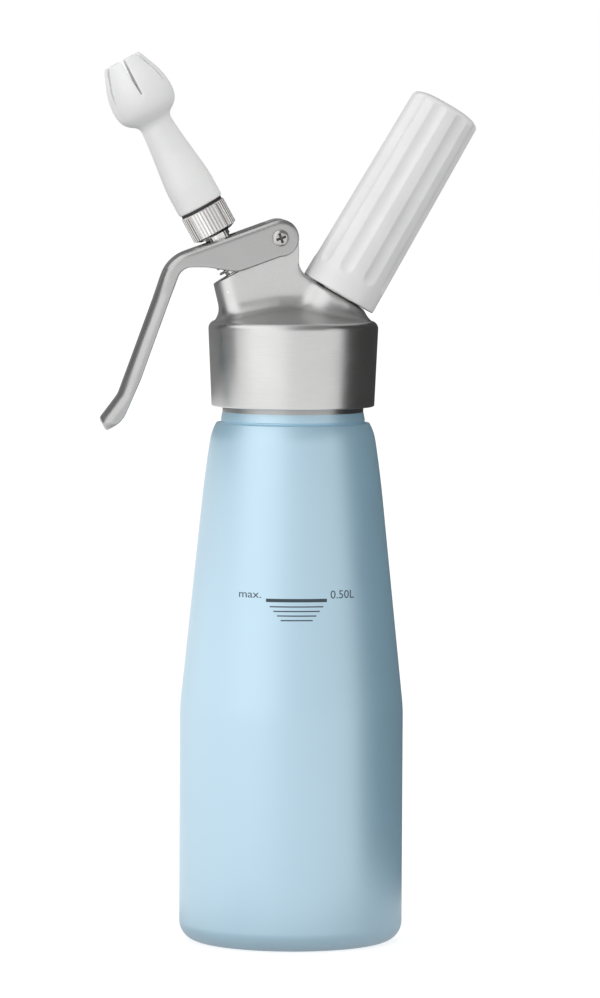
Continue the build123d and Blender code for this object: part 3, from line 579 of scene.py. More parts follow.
HANDLE, TIP = radians(20.0), radians(37.0)
BEND = from_pivot(39.5, EAR)
KINK = (BEND[0] - 52.0 * sin(HANDLE), BEND[1] - 52.0 * cos(HANDLE))
TIP_SIDE = (KINK[0] - 11.0 * sin(TIP), KINK[1] - 11.0 * cos(TIP))
TIP_POINT = (TIP_SIDE[0] + 2.4, TIP_SIDE[1] - 4.2)
TIP_INNER = (TIP_POINT[0] + 5.6, TIP_POINT[1] + 3.7)
INNER_FACE = (BEND[0] + 5.2 * cos(HANDLE), BEND[1] - 5.2 * sin(HANDLE))


def inner_at(z):
    """The point of the handle's inner face at height z."""
    return (INNER_FACE[0] + (z - INNER_FACE[1]) * tan(HANDLE), z)


CHEEK_LOW = (LUG[0] - 15.0, LUG[1] - 12.3)
CHEEK_RISE = (LUG[0] - 26.0, LUG[1] - 10.5)
INNER_BEND = inner_at(CHEEK_RISE[1])
INNER_KINK = (inner_at(202.0)[0] + 0.3, 202.0)
LOW_ANGLE = -89.0
upper = ear_arc(-25, 110, 24)[:-1] + rounded([
    (*from_pivot(0, EAR), 0), (*BEND, 14.0), (*KINK, 8.0), (*TIP_SIDE, 1.8), (*TIP_POINT, 0.4),
    (*TIP_INNER, 0),
])[:-1]
lower = ear_arc(-25, LOW_ANGLE, 12)[:-1] + rounded([
    (LUG[0] + EAR * cos(radians(LOW_ANGLE)), LUG[1] + EAR * sin(radians(LOW_ANGLE)), 0),
    (*CHEEK_LOW, 8.0), (*CHEEK_RISE, 12.0), (*INNER_BEND, 5.0), (*INNER_KINK, 13.2),
    (*TIP_INNER, 11.0), (*TIP_POINT, 0),
])[:-1]


def nearest(points, spot):
    """Index of the point that lies nearest to a spot."""
    return min(range(len(points)), key=lambda index: (points[index] - Vector(spot)).length)


def rail(points, spots, counts):
    """A line cut at the points nearest to spots, each stretch evenly spaced."""
    cuts = [nearest(points, spot) for spot in spots]
    result = []
    for first, last, count in zip(cuts, cuts[1:], counts):
        result += even(points[first:last + 1], count)[:-1]
    return points[:cuts[0]], result + [points[cuts[-1]]], points[cuts[-1] + 1:]


LADDER = (30, 34, 9)                  # steps between rungs on the arm, the handle and the tip
above_start, above_rail, above_end = rail(
    upper, (from_pivot(6.0, EAR), BEND, KINK, (TIP_SIDE[0] + 2.6, TIP_SIDE[1] + 3.8)), LADDER
)
below_start, below_rail, below_end = rail(
    lower, (from_pivot(6.0, -7.5), INNER_BEND, INNER_KINK, (TIP_INNER[0] + 2.6, TIP_INNER[1] + 3.8)),
    LADDER,
)
side_view = (
    above_start + above_rail + above_end + below_end[::-1] + below_rail[::-1] + below_start[:0:-1]
)
# the lever's upper and outer rim is round, the rest of its rim only broken
SHARP_RIM = 0.3
softness = [SHARP_RIM + (1 - SHARP_RIM) * k / len(above_start) for k in range(len(above_start))]
softness += [1.0] * len(above_rail)
softness += [1.0 - (1 - SHARP_RIM) * k / len(above_end) for k in range(len(above_end))]
softness += [SHARP_RIM] * (len(side_view) - len(softness))
print("lever outline:", len(side_view), "points,", len(above_rail), "rungs")

# %% Build the lever's body
CHEEK_INSIDE, CHEEK_OUTSIDE = 7.7, 9.5
lever = trace("lever_casting", side_view, closed=True)
bpy.ops.mesh.edge_face_add()
for above, below in zip(above_rail, below_rail):
    mesh = bmesh.from_edit_mesh(lever.data)
    ends = [Vector((point.x, 0, point.y)) * MM for point in (above, below)]
    bpy.ops.mesh.select_all(action="DESELECT")
    for end in ends:
        min(mesh.verts, key=lambda vertex: (vertex.co - end).length).select = True
    mesh.select_flush(True)
    bmesh.update_edit_mesh(lever.data)
    bpy.ops.mesh.vert_connect()
bpy.ops.mesh.select_all(action="SELECT")
bpy.ops.transform.translate(value=(0, -CHEEK_OUTSIDE * MM, 0))
bpy.ops.mesh.extrude_region_move(
    TRANSFORM_OT_translate={"value": (0, 2 * CHEEK_OUTSIDE * MM, 0)}
)
tidy_normals()
edit(lever, picked=False)
mesh = bmesh.from_edit_mesh(lever.data)
weight = mesh.edges.layers.float.new("bevel_weight_edge")
for edge in mesh.edges:
    flats = [abs(face.normal.y) > 0.9 for face in edge.link_faces]
    if len(flats) == 2 and flats[0] != flats[1]:
        middle = (edge.verts[0].co + edge.verts[1].co).xz / 2 / MM
        edge[weight] = softness[nearest(side_view, middle)]
bmesh.update_edit_mesh(lever.data)
bpy.ops.mesh.select_mode(type="VERT")
tidy_normals()
modify(lever, "BEVEL", width=2.2 * MM, segments=6, limit_method="WEIGHT", use_clamp_overlap=False)
print("lever body:", len(lever.data.polygons), "faces")

# %% Narrow the handle and melt the lever into one skin
HALF_WIDTHS = [
    (TIP_INNER[1] - 2, 7.2), (KINK[1] - 4, 7.2), (KINK[1] + 14.9, 6.7), (INNER_BEND[1] - 12, 7.15),
    (INNER_BEND[1] - 4, 8.6), (INNER_BEND[1] + 1, 9.4), (INNER_BEND[1] + 4, CHEEK_OUTSIDE),
    (300.0, CHEEK_OUTSIDE),
]


def half_width(z):
    """Half the lever's width at height z, eased between the listed heights."""
    for (low, narrow), (high, wide) in zip(HALF_WIDTHS, HALF_WIDTHS[1:]):
        if z < high:
            share = max(0.0, (z - low) / (high - low))
            return narrow + (wide - narrow) * share * share * (3 - 2 * share)
    return CHEEK_OUTSIDE


for vertex in lever.data.vertices:
    vertex.co.y *= half_width(vertex.co.z / MM) / CHEEK_OUTSIDE
LEVER_VOXEL = 0.33
# seen along the X axis, the lever's end is a tongue with round corners
tongue = trace("tongue", rounded([
    (-9.6, 300.0, 0), (-9.6, 210.0, 0), (-7.3, TIP_POINT[1] + 0.2, 5.5), (7.3, TIP_POINT[1] + 0.2, 5.5),
    (9.6, 210.0, 0), (9.6, 300.0, 0),
], closed=True), closed=True)
bpy.ops.mesh.edge_face_add()
bpy.ops.transform.rotate(value=pi / 2, orient_axis="Z", center_override=(0, 0, 0))
bpy.ops.transform.translate(value=(-0.12, 0, 0))
bpy.ops.mesh.extrude_region_move(TRANSFORM_OT_translate={"value": (0.2, 0, 0)})
tidy_normals()
recast(lever, LEVER_VOXEL, 0)
boolean(lever, tongue, "INTERSECT")
recast(lever, LEVER_VOXEL, 4)

CROWN, CROWN_REACH, CROWN_START, CROWN_FULL = 0.30, 4.4, 241.0, 229.0


def behind(point, corner, lean):
    """How far a point lies behind the outer face that leaves a corner at an angle."""
    return (point.x / MM - corner[0]) * cos(lean) - (point.z / MM - corner[1]) * sin(lean)


# the handle's sides are crowned: they fall away towards its outer face
for vertex in lever.data.vertices:
    share = min(1.0, max(0.0, (CROWN_START - vertex.co.z / MM) / (CROWN_START - CROWN_FULL)))
    depth = max(behind(vertex.co, KINK, HANDLE), behind(vertex.co, KINK, TIP))
    fall = max(0.0, 1 - max(0.0, depth) / CROWN_REACH) ** 2
    vertex.co.y *= 1 - CROWN * share * share * (3 - 2 * share) * fall
print("lever skin:", len(lever.data.polygons), "faces")

# %% Cut the lever's pocket, slot and pivot hole
pocket = slab("pocket", rounded([
    (*from_pivot(31.0, 4.1), 2.0), (*from_pivot(-13.4, 4.1), 0), (LUG[0] + 20.1, LUG[1] - 24.6, 0),
    (from_pivot(31.0, 0)[0] + 1, LUG[1] - 24.6, 0),
], closed=True), CHEEK_INSIDE)
boolean(lever, pocket)
ear_gap = slab("ear_gap", [
    from_pivot(3.0, -3.0), from_pivot(3.0, 13.4), from_pivot(-13.4, 13.4), from_pivot(-13.4, -3.0),
], CHEEK_INSIDE)
boolean(lever, ear_gap)
PAD_LEVEL, PAD_RADIUS = 53.55, 2.0
pads = crossbar("pads", PAD_RADIUS, 8.4, *on_port(VALVE_PORT, 0, PAD_LEVEL), steps=32)
boolean(lever, pads, "UNION")
# the slot leaves room for the stem and the nut's neck when the lever is squeezed
slot_tool = slab("slot_tool", [(-7.4, 47.0), (-7.4, 58.5), (6.3, 58.5), (6.3, 47.0)], 4.8)
lean_to(VALVE_PORT, slot_tool)
modify(slot_tool, "BEVEL", width=4.7 * MM, segments=10, limit_method="ANGLE", angle_limit=radians(80))
boolean(lever, slot_tool)
boolean(lever, crossbar("pivot_hole", PIVOT_RADIUS, 12.0, *LUG))
print("lever:", len(lever.data.polygons), "faces")

# %% [markdown]
# ## Decorating nozzle
# A soft white plastic moulding: a conical stem that opens into a tulip with six petals. The
# tulip is turned with its hollow, three thin wedges cut the six slots, and the skin is melted
# so that the petals get round lips.

# %% Turn and slot the nozzle
NOZZLE_FOOT = 68.8
nozzle_line = [Vector((6.85, 0)), Vector((8.15, 0)), Vector((8.55, 0.4))]
nozzle_line += flowing([
    (8.55, 8.0), (8.3, 11.5), (7.6, 17.2), (6.6, 25.2), (6.0, 31.5), (6.0, 33.4), (6.75, 35.0),
    (9.24, 36.9), (10.85, 39.2), (11.5, 42.6), (11.3, 46.2), (10.7, 49.3), (9.8, 52.0), (8.7, 54.7),
    (7.5, 57.6), (6.9, 58.7),
])
nozzle_line += flowing([
    (6.0, 58.8), (5.6, 58.2), (6.9, 55.0), (8.3, 50.5), (9.1, 46.0), (9.0, 42.0), (7.4, 39.2),
    (4.6, 37.8), (3.5, 36.0), (3.5, 33.0), (4.6, 12.0), (4.6, 9.3), (6.85, 9.3),
], steps=4)
nozzle = lathe("nozzle_tulip", nozzle_line, steps=144, closed=True)
for turn in range(3):
    wedge = slab("wedge", [(-0.95, 61.0), (0.95, 61.0), (0.14, 43.4), (-0.14, 43.4)], 14.0)
    wedge.rotation_euler = (0, 0, radians(60 * turn))
    boolean(nozzle, apply_place(wedge))
recast(nozzle, 0.28, 3)
nozzle.location = (0, 0, NOZZLE_FOOT * MM)
lean_to(VALVE_PORT, apply_place(nozzle))
shade(nozzle, 60)
print("nozzle:", len(nozzle.data.polygons), "faces")

# %% [markdown]
# ## Charger holder
# A white moulded cap with nine shallow flutes for grip. The shell is turned with close rings,
# and the flutes are pressed into it: each ring vertex under a flute moves in to the flute's
# round bottom, with a soft shoulder where flute and shell meet.

# %% Turn and flute the holder
HOLDER_FOOT, HOLDER_LENGTH, HOLDER_RADIUS, MOUTH_RADIUS = 32.0, 78.1, 14.15, 11.6
CAVITY_RADIUS, CAVITY_FOOT, CAVITY_TOP = 9.3, 13.3, 75.4
FLUTES, FLUTE_RADIUS, FLUTE_DEPTH, FLUTE_START = 9, 5.2, 1.0, 7.7
FLUTE_PHASE, FLUTE_TAPER, FLUTE_EDGE = radians(-104.4), 1.15, 0.3
OUTER_SKIN = 11.0                     # what lies nearer to the axis belongs to the cavity
END_CENTRE, END_RADII = (5.55, 74.95), (7.6, 3.15)
outer = rounded([(MOUTH_RADIUS, 0, 0), (HOLDER_RADIUS, 0, 0.5), (13.15, 74.0, 0)], fine=0.25)
outer = outer[:-1] + even([outer[-2], outer[-1]], 180)[1:]
outer += [
    Vector((END_CENTRE[0] + END_RADII[0] * cos(angle), END_CENTRE[1] + END_RADII[1] * sin(angle)))
    for angle in (k * pi / 28 for k in range(15))
]
shell_line = outer + [
    (2.5, HOLDER_LENGTH), (0, HOLDER_LENGTH), (0, CAVITY_TOP), (CAVITY_RADIUS, CAVITY_TOP),
    (CAVITY_RADIUS, CAVITY_FOOT), (MOUTH_RADIUS, CAVITY_FOOT),
]
holder = lathe("holder_cap", shell_line, steps=288, closed=True)
for vertex in holder.data.vertices:
    across, height = hypot(vertex.co.x, vertex.co.y) / MM, vertex.co.z / MM
    if across < OUTER_SKIN or height < FLUTE_START:
        continue
    bottom = FLUTE_START + FLUTE_RADIUS / 2
    axis = HOLDER_RADIUS - FLUTE_DEPTH + FLUTE_RADIUS - FLUTE_TAPER * (height - bottom) / HOLDER_LENGTH
    reach = sqrt(max(0.0, FLUTE_RADIUS**2 - max(0.0, bottom - height) ** 2))
    heading = (Vector(vertex.co.xy).angle_signed(Vector((1, 0))) - FLUTE_PHASE) % (2 * pi / FLUTES)
    heading = min(heading, 2 * pi / FLUTES - heading)
    aside = axis * sin(heading)
    if aside < reach:
        bed = axis * cos(heading) - sqrt(reach**2 - aside**2)
        near = max(0.0, FLUTE_EDGE - abs(across - bed)) / FLUTE_EDGE
        pressed = min(across, bed) - near**2 * FLUTE_EDGE / 4
        vertex.co.xy *= min(1.0, pressed / across)
holder.location = (0, 0, HOLDER_FOOT * MM)
lean_to(INLET_PORT, apply_place(holder))
shade(holder, 50)
print("holder:", len(holder.data.polygons), "faces")

# %% [markdown]
# ## Small parts
# The return spring is a helix that the Screw modifier makes from one small ring. The pivot's
# screw has a low dome and a cross recess.

# %% Wind the spring and turn the screw
SPRING_FOOT, SHOULDER = 36.5, 49.5
COILS, COIL_RADIUS, WIRE_RADIUS, END_ROOM = 6, 5.4, 0.45, 0.47
rise = (SHOULDER - SPRING_FOOT - 2 * END_ROOM) / COILS
wire = [
    (COIL_RADIUS + WIRE_RADIUS * cos(k * pi / 8), SPRING_FOOT + END_ROOM + WIRE_RADIUS * sin(k * pi / 8))
    for k in range(16)
]
spring = wind(trace("return_spring", wire, closed=True), rise, COILS, 48)
lean_to(VALVE_PORT, spring)
shade(spring, 60)

SCREW_SEAT = 9.6
screw = lathe("pivot_screw_head", [(0, -12.0), (1.45, -12.0), (1.45, 0), (2.95, 0)] + rounded([
    (2.95, 0.2, 0), (2.95, 0.9, 0.35), (2.2, 1.55, 1.6), (0.0, 1.8, 0),
], fine=0.12), steps=64)
for quarter in range(2):
    blade = slab("blade", [(-1.6, 0.5), (1.6, 0.5), (1.95, 2.5), (-1.95, 2.5)], 0.45)
    blade.rotation_euler = (0, 0, radians(20 + 90 * quarter))
    boolean(screw, apply_place(blade))
screw.rotation_euler = (pi / 2, 0, 0)
screw.location = Vector((LUG[0], -SCREW_SEAT, LUG[1])) * MM
apply_place(screw)
shade(screw)
print("spring:", len(spring.data.polygons), "faces, screw:", len(screw.data.polygons), "faces")


def in_recess(face):
    """Whether a face of the screw lies in its cross recess."""
    across = hypot(face.center.x / MM - LUG[0], face.center.z / MM - LUG[1])
    depth = SCREW_SEAT + face.center.y / MM
    return across < 1.9 and abs(face.normal.y) < 0.5 and -1.9 < depth < -0.4 or (
        across < 1.7 and abs(depth + 0.5) < 0.03
    )


# %% [markdown]
# ## Fill mark
# The mark is printed on the cone of the bottle: a bar for the highest level, four thin lines
# that get shorter, and two words. Bars and words are drawn flat and given a hair of
# thickness. Then every vertex is wrapped round the cone: its X becomes a length along the
# curve, and its Y a depth.

# %% Draw and wrap the fill mark
MARK_MIDDLE = -1.45
PRINT_DEPTH = 0.03
CONE_SLOPE = (BOTTLE_RADIUS - CONE_TOP_RADIUS) / (CONE_TOP - SIDE_TOP)


def printed(made):
    """Give a flat drawing in the X-Z plane a hair of thickness."""
    edit(made)
    bpy.ops.transform.translate(value=(0, PRINT_DEPTH * MM, 0))
    bpy.ops.mesh.extrude_region_move(TRANSFORM_OT_translate={"value": (0, -2 * PRINT_DEPTH * MM, 0)})
    tidy_normals()
    return made


def bar(half_length, height, thickness):
    """A level line: a strip of short faces, so that it can bend."""
    bpy.ops.object.select_all(action="DESELECT")
    bpy.ops.mesh.primitive_grid_add(x_subdivisions=24, y_subdivisions=1, size=MM, location=(0, 0, 0))
    made = bpy.context.object
    made.rotation_euler = (pi / 2, 0, 0)
    made.scale = (2 * half_length, thickness, 1)
    made.location = Vector((MARK_MIDDLE, 0, height)) * MM
    return printed(apply_place(made))


def word(text, left, right, foot, top):
    """A word that fills the space between two lengths and two heights."""
    bpy.ops.object.select_all(action="DESELECT")
    bpy.ops.object.text_add(location=(0, 0, 0))
    made = bpy.context.object
    made.data.body = text
    made.data.size = 4 * MM
    made.data.resolution_u = 4
    bpy.ops.object.convert(target="MESH")
    made.rotation_euler = (pi / 2, 0, 0)
    apply_place(made)
    low = [min(vertex.co[axis] for vertex in made.data.vertices) for axis in range(3)]
    high = [max(vertex.co[axis] for vertex in made.data.vertices) for axis in range(3)]
    for vertex in made.data.vertices:
        vertex.co.x = (left + (right - left) * (vertex.co.x - low[0]) / (high[0] - low[0])) * MM
        vertex.co.z = (foot + (top - foot) * (vertex.co.z - low[2]) / (high[2] - low[2])) * MM
    return printed(made)


mark = bar(10.95, 125.1, 1.2)
mark.name = "fill_mark"
lines = [bar(9.6 - 1.3 * index, 122.9 - 1.6 * index, 0.42) for index in range(4)]
words = [word("max.", -22.8, -14.2, 125.85, 127.65), word("0.50L", 10.9, 20.5, 125.65, 128.5)]
join(mark, *lines, *words)
for vertex in mark.data.vertices:
    radius = BOTTLE_RADIUS - CONE_SLOPE * (vertex.co.z / MM - SIDE_TOP) - vertex.co.y / MM
    around = vertex.co.x / MM / radius
    vertex.co.x, vertex.co.y = radius * sin(around) * MM, -radius * cos(around) * MM
print("fill mark:", len(mark.data.polygons), "faces")

# %% [markdown]
# ## Finishes: shared effects
# Real finishes are never even. A turned skirt carries fine rings from the brush, a casting has
# a blasted grain, handled metal has soft smudges, and edges are rubbed brighter. Each effect is
# a node group, built once and placed in the materials with values of its own.


# %% Helpers for shader nodes
def add(tree, kind, inputs=None, **settings):
    """Add a shader node. Its inputs are plain values, or sockets to link from."""
    made = tree.nodes.new("ShaderNode" + kind)
    for name, value in settings.items():
        setattr(made, name, value)
    for key, value in (inputs or {}).items():
        if isinstance(value, bpy.types.NodeSocket):
            tree.links.new(value, made.inputs[key])
        else:
            made.inputs[key].default_value = value
    return made


def effect(name, inputs):
    """Start a node group with number inputs and one Value output."""
    group = bpy.data.node_groups.new(name, "ShaderNodeTree")
    for socket, value in inputs.items():
        kind = "NodeSocketVector" if value is None else "NodeSocketFloat"
        made = group.interface.new_socket(name=socket, in_out="INPUT", socket_type=kind)
        if value is not None:
            made.default_value = value
    group.interface.new_socket(name="Value", in_out="OUTPUT", socket_type="NodeSocketFloat")
    start = group.nodes.new("NodeGroupInput")
    end = group.nodes.new("NodeGroupOutput")
    return group, start.outputs, end.inputs["Value"]


# %% Grain, smudges, edge wear and ring brushing
grain, given, result = effect("fine_grain", {"Scale": 2000.0, "Softness": 0.5})
place = add(grain, "TexCoord").outputs["Object"]
noise = add(grain, "TexNoise", {
    "Vector": place, "Scale": given["Scale"], "Detail": 3.0, "Roughness": given["Softness"],
})
grain.links.new(noise.outputs["Fac"], result)

smudges, given, result = effect("smudges", {"Scale": 60.0, "Low": 0.3, "High": 0.7})
place = add(smudges, "TexCoord").outputs["Object"]
noise = add(smudges, "TexNoise", {"Vector": place, "Scale": given["Scale"], "Detail": 4.0})
soft = add(smudges, "MapRange", {
    "Value": noise.outputs["Fac"], "From Min": 0.35, "From Max": 0.65,
    "To Min": given["Low"], "To Max": given["High"],
}, interpolation_type="SMOOTHSTEP")
smudges.links.new(soft.outputs["Result"], result)

edge_wear, given, result = effect("edge_wear", {"Start": 0.52, "Full": 0.60, "Scale": 400.0})
place = add(edge_wear, "TexCoord").outputs["Object"]
point = add(edge_wear, "NewGeometry").outputs["Pointiness"]
noise = add(edge_wear, "TexNoise", {"Vector": place, "Scale": given["Scale"], "Detail": 3.0})
rubbed = add(edge_wear, "MapRange", {
    "Value": point, "From Min": given["Start"], "From Max": given["Full"],
})
broken = add(edge_wear, "MapRange", {
    "Value": noise.outputs["Fac"], "From Min": 0.3, "From Max": 0.6, "To Min": 0.5,
})
wear = add(edge_wear, "Math", {0: rubbed.outputs["Result"], 1: broken.outputs["Result"]},
           operation="MULTIPLY")
edge_wear.links.new(wear.outputs[0], result)

# the rings run round the Z axis of the vector that comes in
brushing, given, result = effect("ring_brushing", {"Vector": None, "Fineness": 5000.0, "Swirl": 0.0008})
parts = add(brushing, "SeparateXYZ", {"Vector": given["Vector"]}).outputs
flat = add(brushing, "CombineXYZ", {"X": parts["X"], "Y": parts["Y"]}).outputs[0]
around = add(brushing, "VectorMath", {0: flat}, operation="NORMALIZE").outputs["Vector"]
around = add(brushing, "VectorMath", {0: around, "Scale": given["Swirl"]}, operation="SCALE")
radius = add(brushing, "VectorMath", {0: flat}, operation="LENGTH").outputs["Value"]
level = add(brushing, "Math", {0: radius, 1: 0.73, 2: parts["Z"]}, operation="MULTIPLY_ADD")
lift = add(brushing, "CombineXYZ", {"Z": level.outputs[0]}).outputs[0]
line = add(brushing, "VectorMath", {0: around.outputs["Vector"], 1: lift}, operation="ADD")
noise = add(brushing, "TexNoise", {
    "Vector": line.outputs["Vector"], "Scale": given["Fineness"], "Detail": 3.0, "Roughness": 0.65,
})
brushing.links.new(noise.outputs["Fac"], result)
print("effects:", ", ".join(group.name for group in bpy.data.node_groups))


# %% Helpers for materials
def start_material(name, colour, roughness, metallic=0.0, **sockets):
    """A new material with its shader's plain values set."""
    made = bpy.data.materials.new(name)
    made.use_nodes = True
    shader = made.node_tree.nodes["Principled BSDF"].inputs
    shader["Base Color"].default_value = (*colour, 1.0)
    shader["Roughness"].default_value = roughness
    shader["Metallic"].default_value = metallic
    for socket, value in sockets.items():
        shader[socket.replace("_", " ")].default_value = value
    return made, made.node_tree, shader


def toned(colour, factor, dust=0.0):
    """A colour made darker or brighter, and greyed by dust."""
    return tuple(min(1.0, factor * part + dust) for part in colour)


def use(tree, group, **inputs):
    """Place an effect in a material and return its value."""
    made = tree.nodes.new("ShaderNodeGroup")
    made.node_tree = group
    for name, value in inputs.items():
        if isinstance(value, bpy.types.NodeSocket):
            tree.links.new(value, made.inputs[name])
        else:
            made.inputs[name].default_value = value
    return made.outputs["Value"]


def span(tree, value, low, high, start=0.0, full=1.0):
    """Stretch a value to a new range."""
    return add(tree, "MapRange", {
        "Value": value, "From Min": start, "From Max": full, "To Min": low, "To Max": high,
    }).outputs["Result"]


def blend(tree, share, first, second):
    """Mix two colours by a value."""
    made = tree.nodes.new("ShaderNodeMix")
    made.data_type = "RGBA"
    for socket, value in zip((made.inputs[0], made.inputs[6], made.inputs[7]), (share, first, second)):
        if isinstance(value, bpy.types.NodeSocket):
            tree.links.new(value, socket)
        else:
            socket.default_value = (*value, 1.0)
    return made.outputs[2]


def bump(tree, shader, height, depth, strength=1.0, under=None):
    """Turn a height into a normal; depth is in millimetres."""
    inputs = {"Height": height, "Distance": depth * MM, "Strength": strength}
    if under is not None:
        inputs["Normal"] = under
    made = add(tree, "Bump", inputs)
    tree.links.new(made.outputs["Normal"], shader["Normal"])
    return made.outputs["Normal"]


# %% [markdown]
# ## Finishes: coat and metals
# The bottle has a satin powder coat with the faintest orange peel. The skirt is brushed in rings. Casting
# and lever are blasted and then rubbed smooth at the edges, and the lever's colour is darker than the
# casting's as painted shade. Nut, screw and spring are plated and bright.

# %% Powder coat and bare steel
COAT = (0.270, 0.545, 0.720)
powder_coat, tree, shader = start_material(
    "pastel_powder_coat", COAT, 0.42, 0.2, Coat_Weight=1.0, Coat_Roughness=0.45, Coat_IOR=3.5
)
cloudy = use(tree, smudges, Scale=18.0, Low=0.0, High=1.0)
tree.links.new(blend(tree, cloudy, toned(COAT, 0.985), toned(COAT, 1.015)), shader["Base Color"])
tree.links.new(use(tree, smudges, Scale=45.0, Low=0.39, High=0.45), shader["Roughness"])
peel = use(tree, grain, Scale=1300.0, Softness=0.4)
bump(tree, shader, peel, 0.02, 0.5)

# bare steel for the neck and the inside, its colour darkened as painted shade under the skirt
shade_darkened_steel, tree, shader = start_material("shade_darkened_steel", (0.36, 0.36, 0.36), 0.28, 1.0)
place = add(tree, "TexCoord").outputs["Object"]
lines = use(tree, brushing, Vector=place, Fineness=4000.0, Swirl=0.0006)
tree.links.new(span(tree, lines, 0.22, 0.38), shader["Roughness"])
bump(tree, shader, lines, 0.02, 0.5)


# %% Brushed, blasted and plated metal
def ringed_metal(name, colour, low, high, port=(0, 0), fineness=5000.0, depth=0.02, swirl=0.0008):
    """Turned metal whose brush lines run round the axis of its port."""
    crossing, tilt = port
    made, tree, shader = start_material(name, colour, (low + high) / 2, 1.0)
    place = add(tree, "TexCoord").outputs["Object"]
    upright = add(tree, "Mapping", {
        "Vector": place, "Location": (0, 0, crossing * MM), "Rotation": (0, tilt, 0),
    }, vector_type="TEXTURE").outputs["Vector"]
    lines = use(tree, brushing, Vector=upright, Fineness=fineness, Swirl=swirl)
    hazy = use(tree, smudges, Scale=70.0, Low=-0.03, High=0.03)
    rough = add(tree, "Math", {0: span(tree, lines, low, high), 1: hazy}, operation="ADD")
    tree.links.new(rough.outputs[0], shader["Roughness"])
    streaks = span(tree, lines, 0.0, 1.0, 0.25, 0.75)
    tree.links.new(blend(tree, streaks, toned(colour, 0.94), toned(colour, 1.05)), shader["Base Color"])
    bump(tree, shader, lines, depth, 0.6)
    return made


def cast_metal(name, colour, low, high, depth):
    """Blasted casting: an even fine grain, smudges, and edges rubbed brighter and smoother."""
    made, tree, shader = start_material(name, colour, (low + high) / 2, 1.0)
    worn = use(tree, edge_wear, Start=0.52, Full=0.62, Scale=500.0)
    speckle = use(tree, grain, Scale=3200.0, Softness=0.6)
    hazy = use(tree, smudges, Scale=90.0, Low=low, High=high)
    rough = add(tree, "Math", {0: worn, 1: -0.10, 2: hazy}, operation="MULTIPLY_ADD")
    tree.links.new(rough.outputs[0], shader["Roughness"])
    spots = span(tree, speckle, 0.0, 1.0, 0.3, 0.7)
    mottled = blend(tree, spots, toned(colour, 0.95), toned(colour, 1.04))
    tree.links.new(blend(tree, worn, mottled, toned(colour, 1.15)), shader["Base Color"])
    bump(tree, shader, speckle, depth, 0.7)
    return made


ALUMINIUM, STEEL = (0.58, 0.58, 0.577), (0.66, 0.65, 0.64)
brushed_skirt = ringed_metal("brushed_skirt", ALUMINIUM, 0.28, 0.38, depth=0.008)
blasted_casting = cast_metal("blasted_casting", ALUMINIUM, 0.34, 0.40, 0.02)
# the lever is the same cast aluminium as the head; its darker colour is painted shade
rubbed_shaded_lever = cast_metal("rubbed_shaded_lever", (0.43, 0.43, 0.428), 0.28, 0.34, 0.012)
turned_valve = ringed_metal("turned_valve", STEEL, 0.16, 0.30, VALVE_PORT)
turned_inlet = ringed_metal("turned_inlet", STEEL, 0.18, 0.32, INLET_PORT)
turned_brass = ringed_metal("turned_brass", (0.72, 0.53, 0.27), 0.20, 0.34, INLET_PORT)
bright_nut = ringed_metal("bright_nut", (0.74, 0.73, 0.72), 0.14, 0.26, VALVE_PORT)
zinc_charger = ringed_metal("zinc_charger", (0.68, 0.69, 0.71), 0.22, 0.36, INLET_PORT, 1800.0, 0.02, 0.004)
plated = cast_metal("bright_plating", (0.48, 0.475, 0.47), 0.18, 0.28, 0.012)
# near black: painted shade inside the screw's cross recess
shadowed = cast_metal("unlit_recess", (0.10, 0.10, 0.10), 0.40, 0.50, 0.012)
print("metals ready")


# %% [markdown]
# ## Finishes: plastics and rubber
# The two white mouldings are satin, with a trace of texture, and the softer one, the nozzle,
# lets a little light through. The seals are matt and dusty.


# %% Plastics and rubber
def moulded(name, colour, low, high, depth, dust=0.0, **sockets):
    """Moulded plastic or rubber: an even skin with faint clouds and a fine texture."""
    made, tree, shader = start_material(name, colour, (low + high) / 2, 0.0, **sockets)
    cloudy = use(tree, smudges, Scale=55.0, Low=0.0, High=1.0)
    pale = toned(colour, 1.02, dust)
    tree.links.new(blend(tree, cloudy, toned(colour, 0.975), pale), shader["Base Color"])
    tree.links.new(use(tree, smudges, Scale=120.0, Low=low, High=high), shader["Roughness"])
    bump(tree, shader, use(tree, grain, Scale=2400.0, Softness=0.5), depth, 0.5)
    return made


white_nozzle = moulded("white_nozzle", (0.93, 0.93, 0.93), 0.38, 0.46, 0.012, Subsurface_Weight=0.08,
                       Subsurface_Scale=0.002)
white_holder = moulded("white_holder", (0.90, 0.90, 0.90), 0.28, 0.36, 0.010)
mark_ink = moulded("mark_ink", (0.035, 0.055, 0.075), 0.45, 0.55, 0.004, 0.004)
inner_plastic = moulded("inner_plastic", (0.78, 0.78, 0.75), 0.40, 0.50, 0.012)
black_rubber = moulded("black_rubber", (0.022, 0.022, 0.023), 0.55, 0.70, 0.02, 0.006)
grey_silicone = moulded("grey_silicone", (0.42, 0.43, 0.44), 0.48, 0.60, 0.02, 0.01)

# %% [markdown]
# ## Dress the pieces
# New pieces take one material each, apart from two. On the bottle the faces of the neck and of the inside
# stay bare steel, its colour darkened as painted shade, and on the screw the faces of the recess are near
# black, a painted shade. The imported pieces keep their shape and take their finish by name.


# %% Give every piece its finish
def dress(piece, *finishes):
    """Replace a piece's materials."""
    piece.data.materials.clear()
    for finish in finishes:
        piece.data.materials.append(finish)


COAT_EDGE = 190.4
# the neck and the inside take the steel whose colour is darkened as painted shade
dress(bottle, powder_coat, shade_darkened_steel)
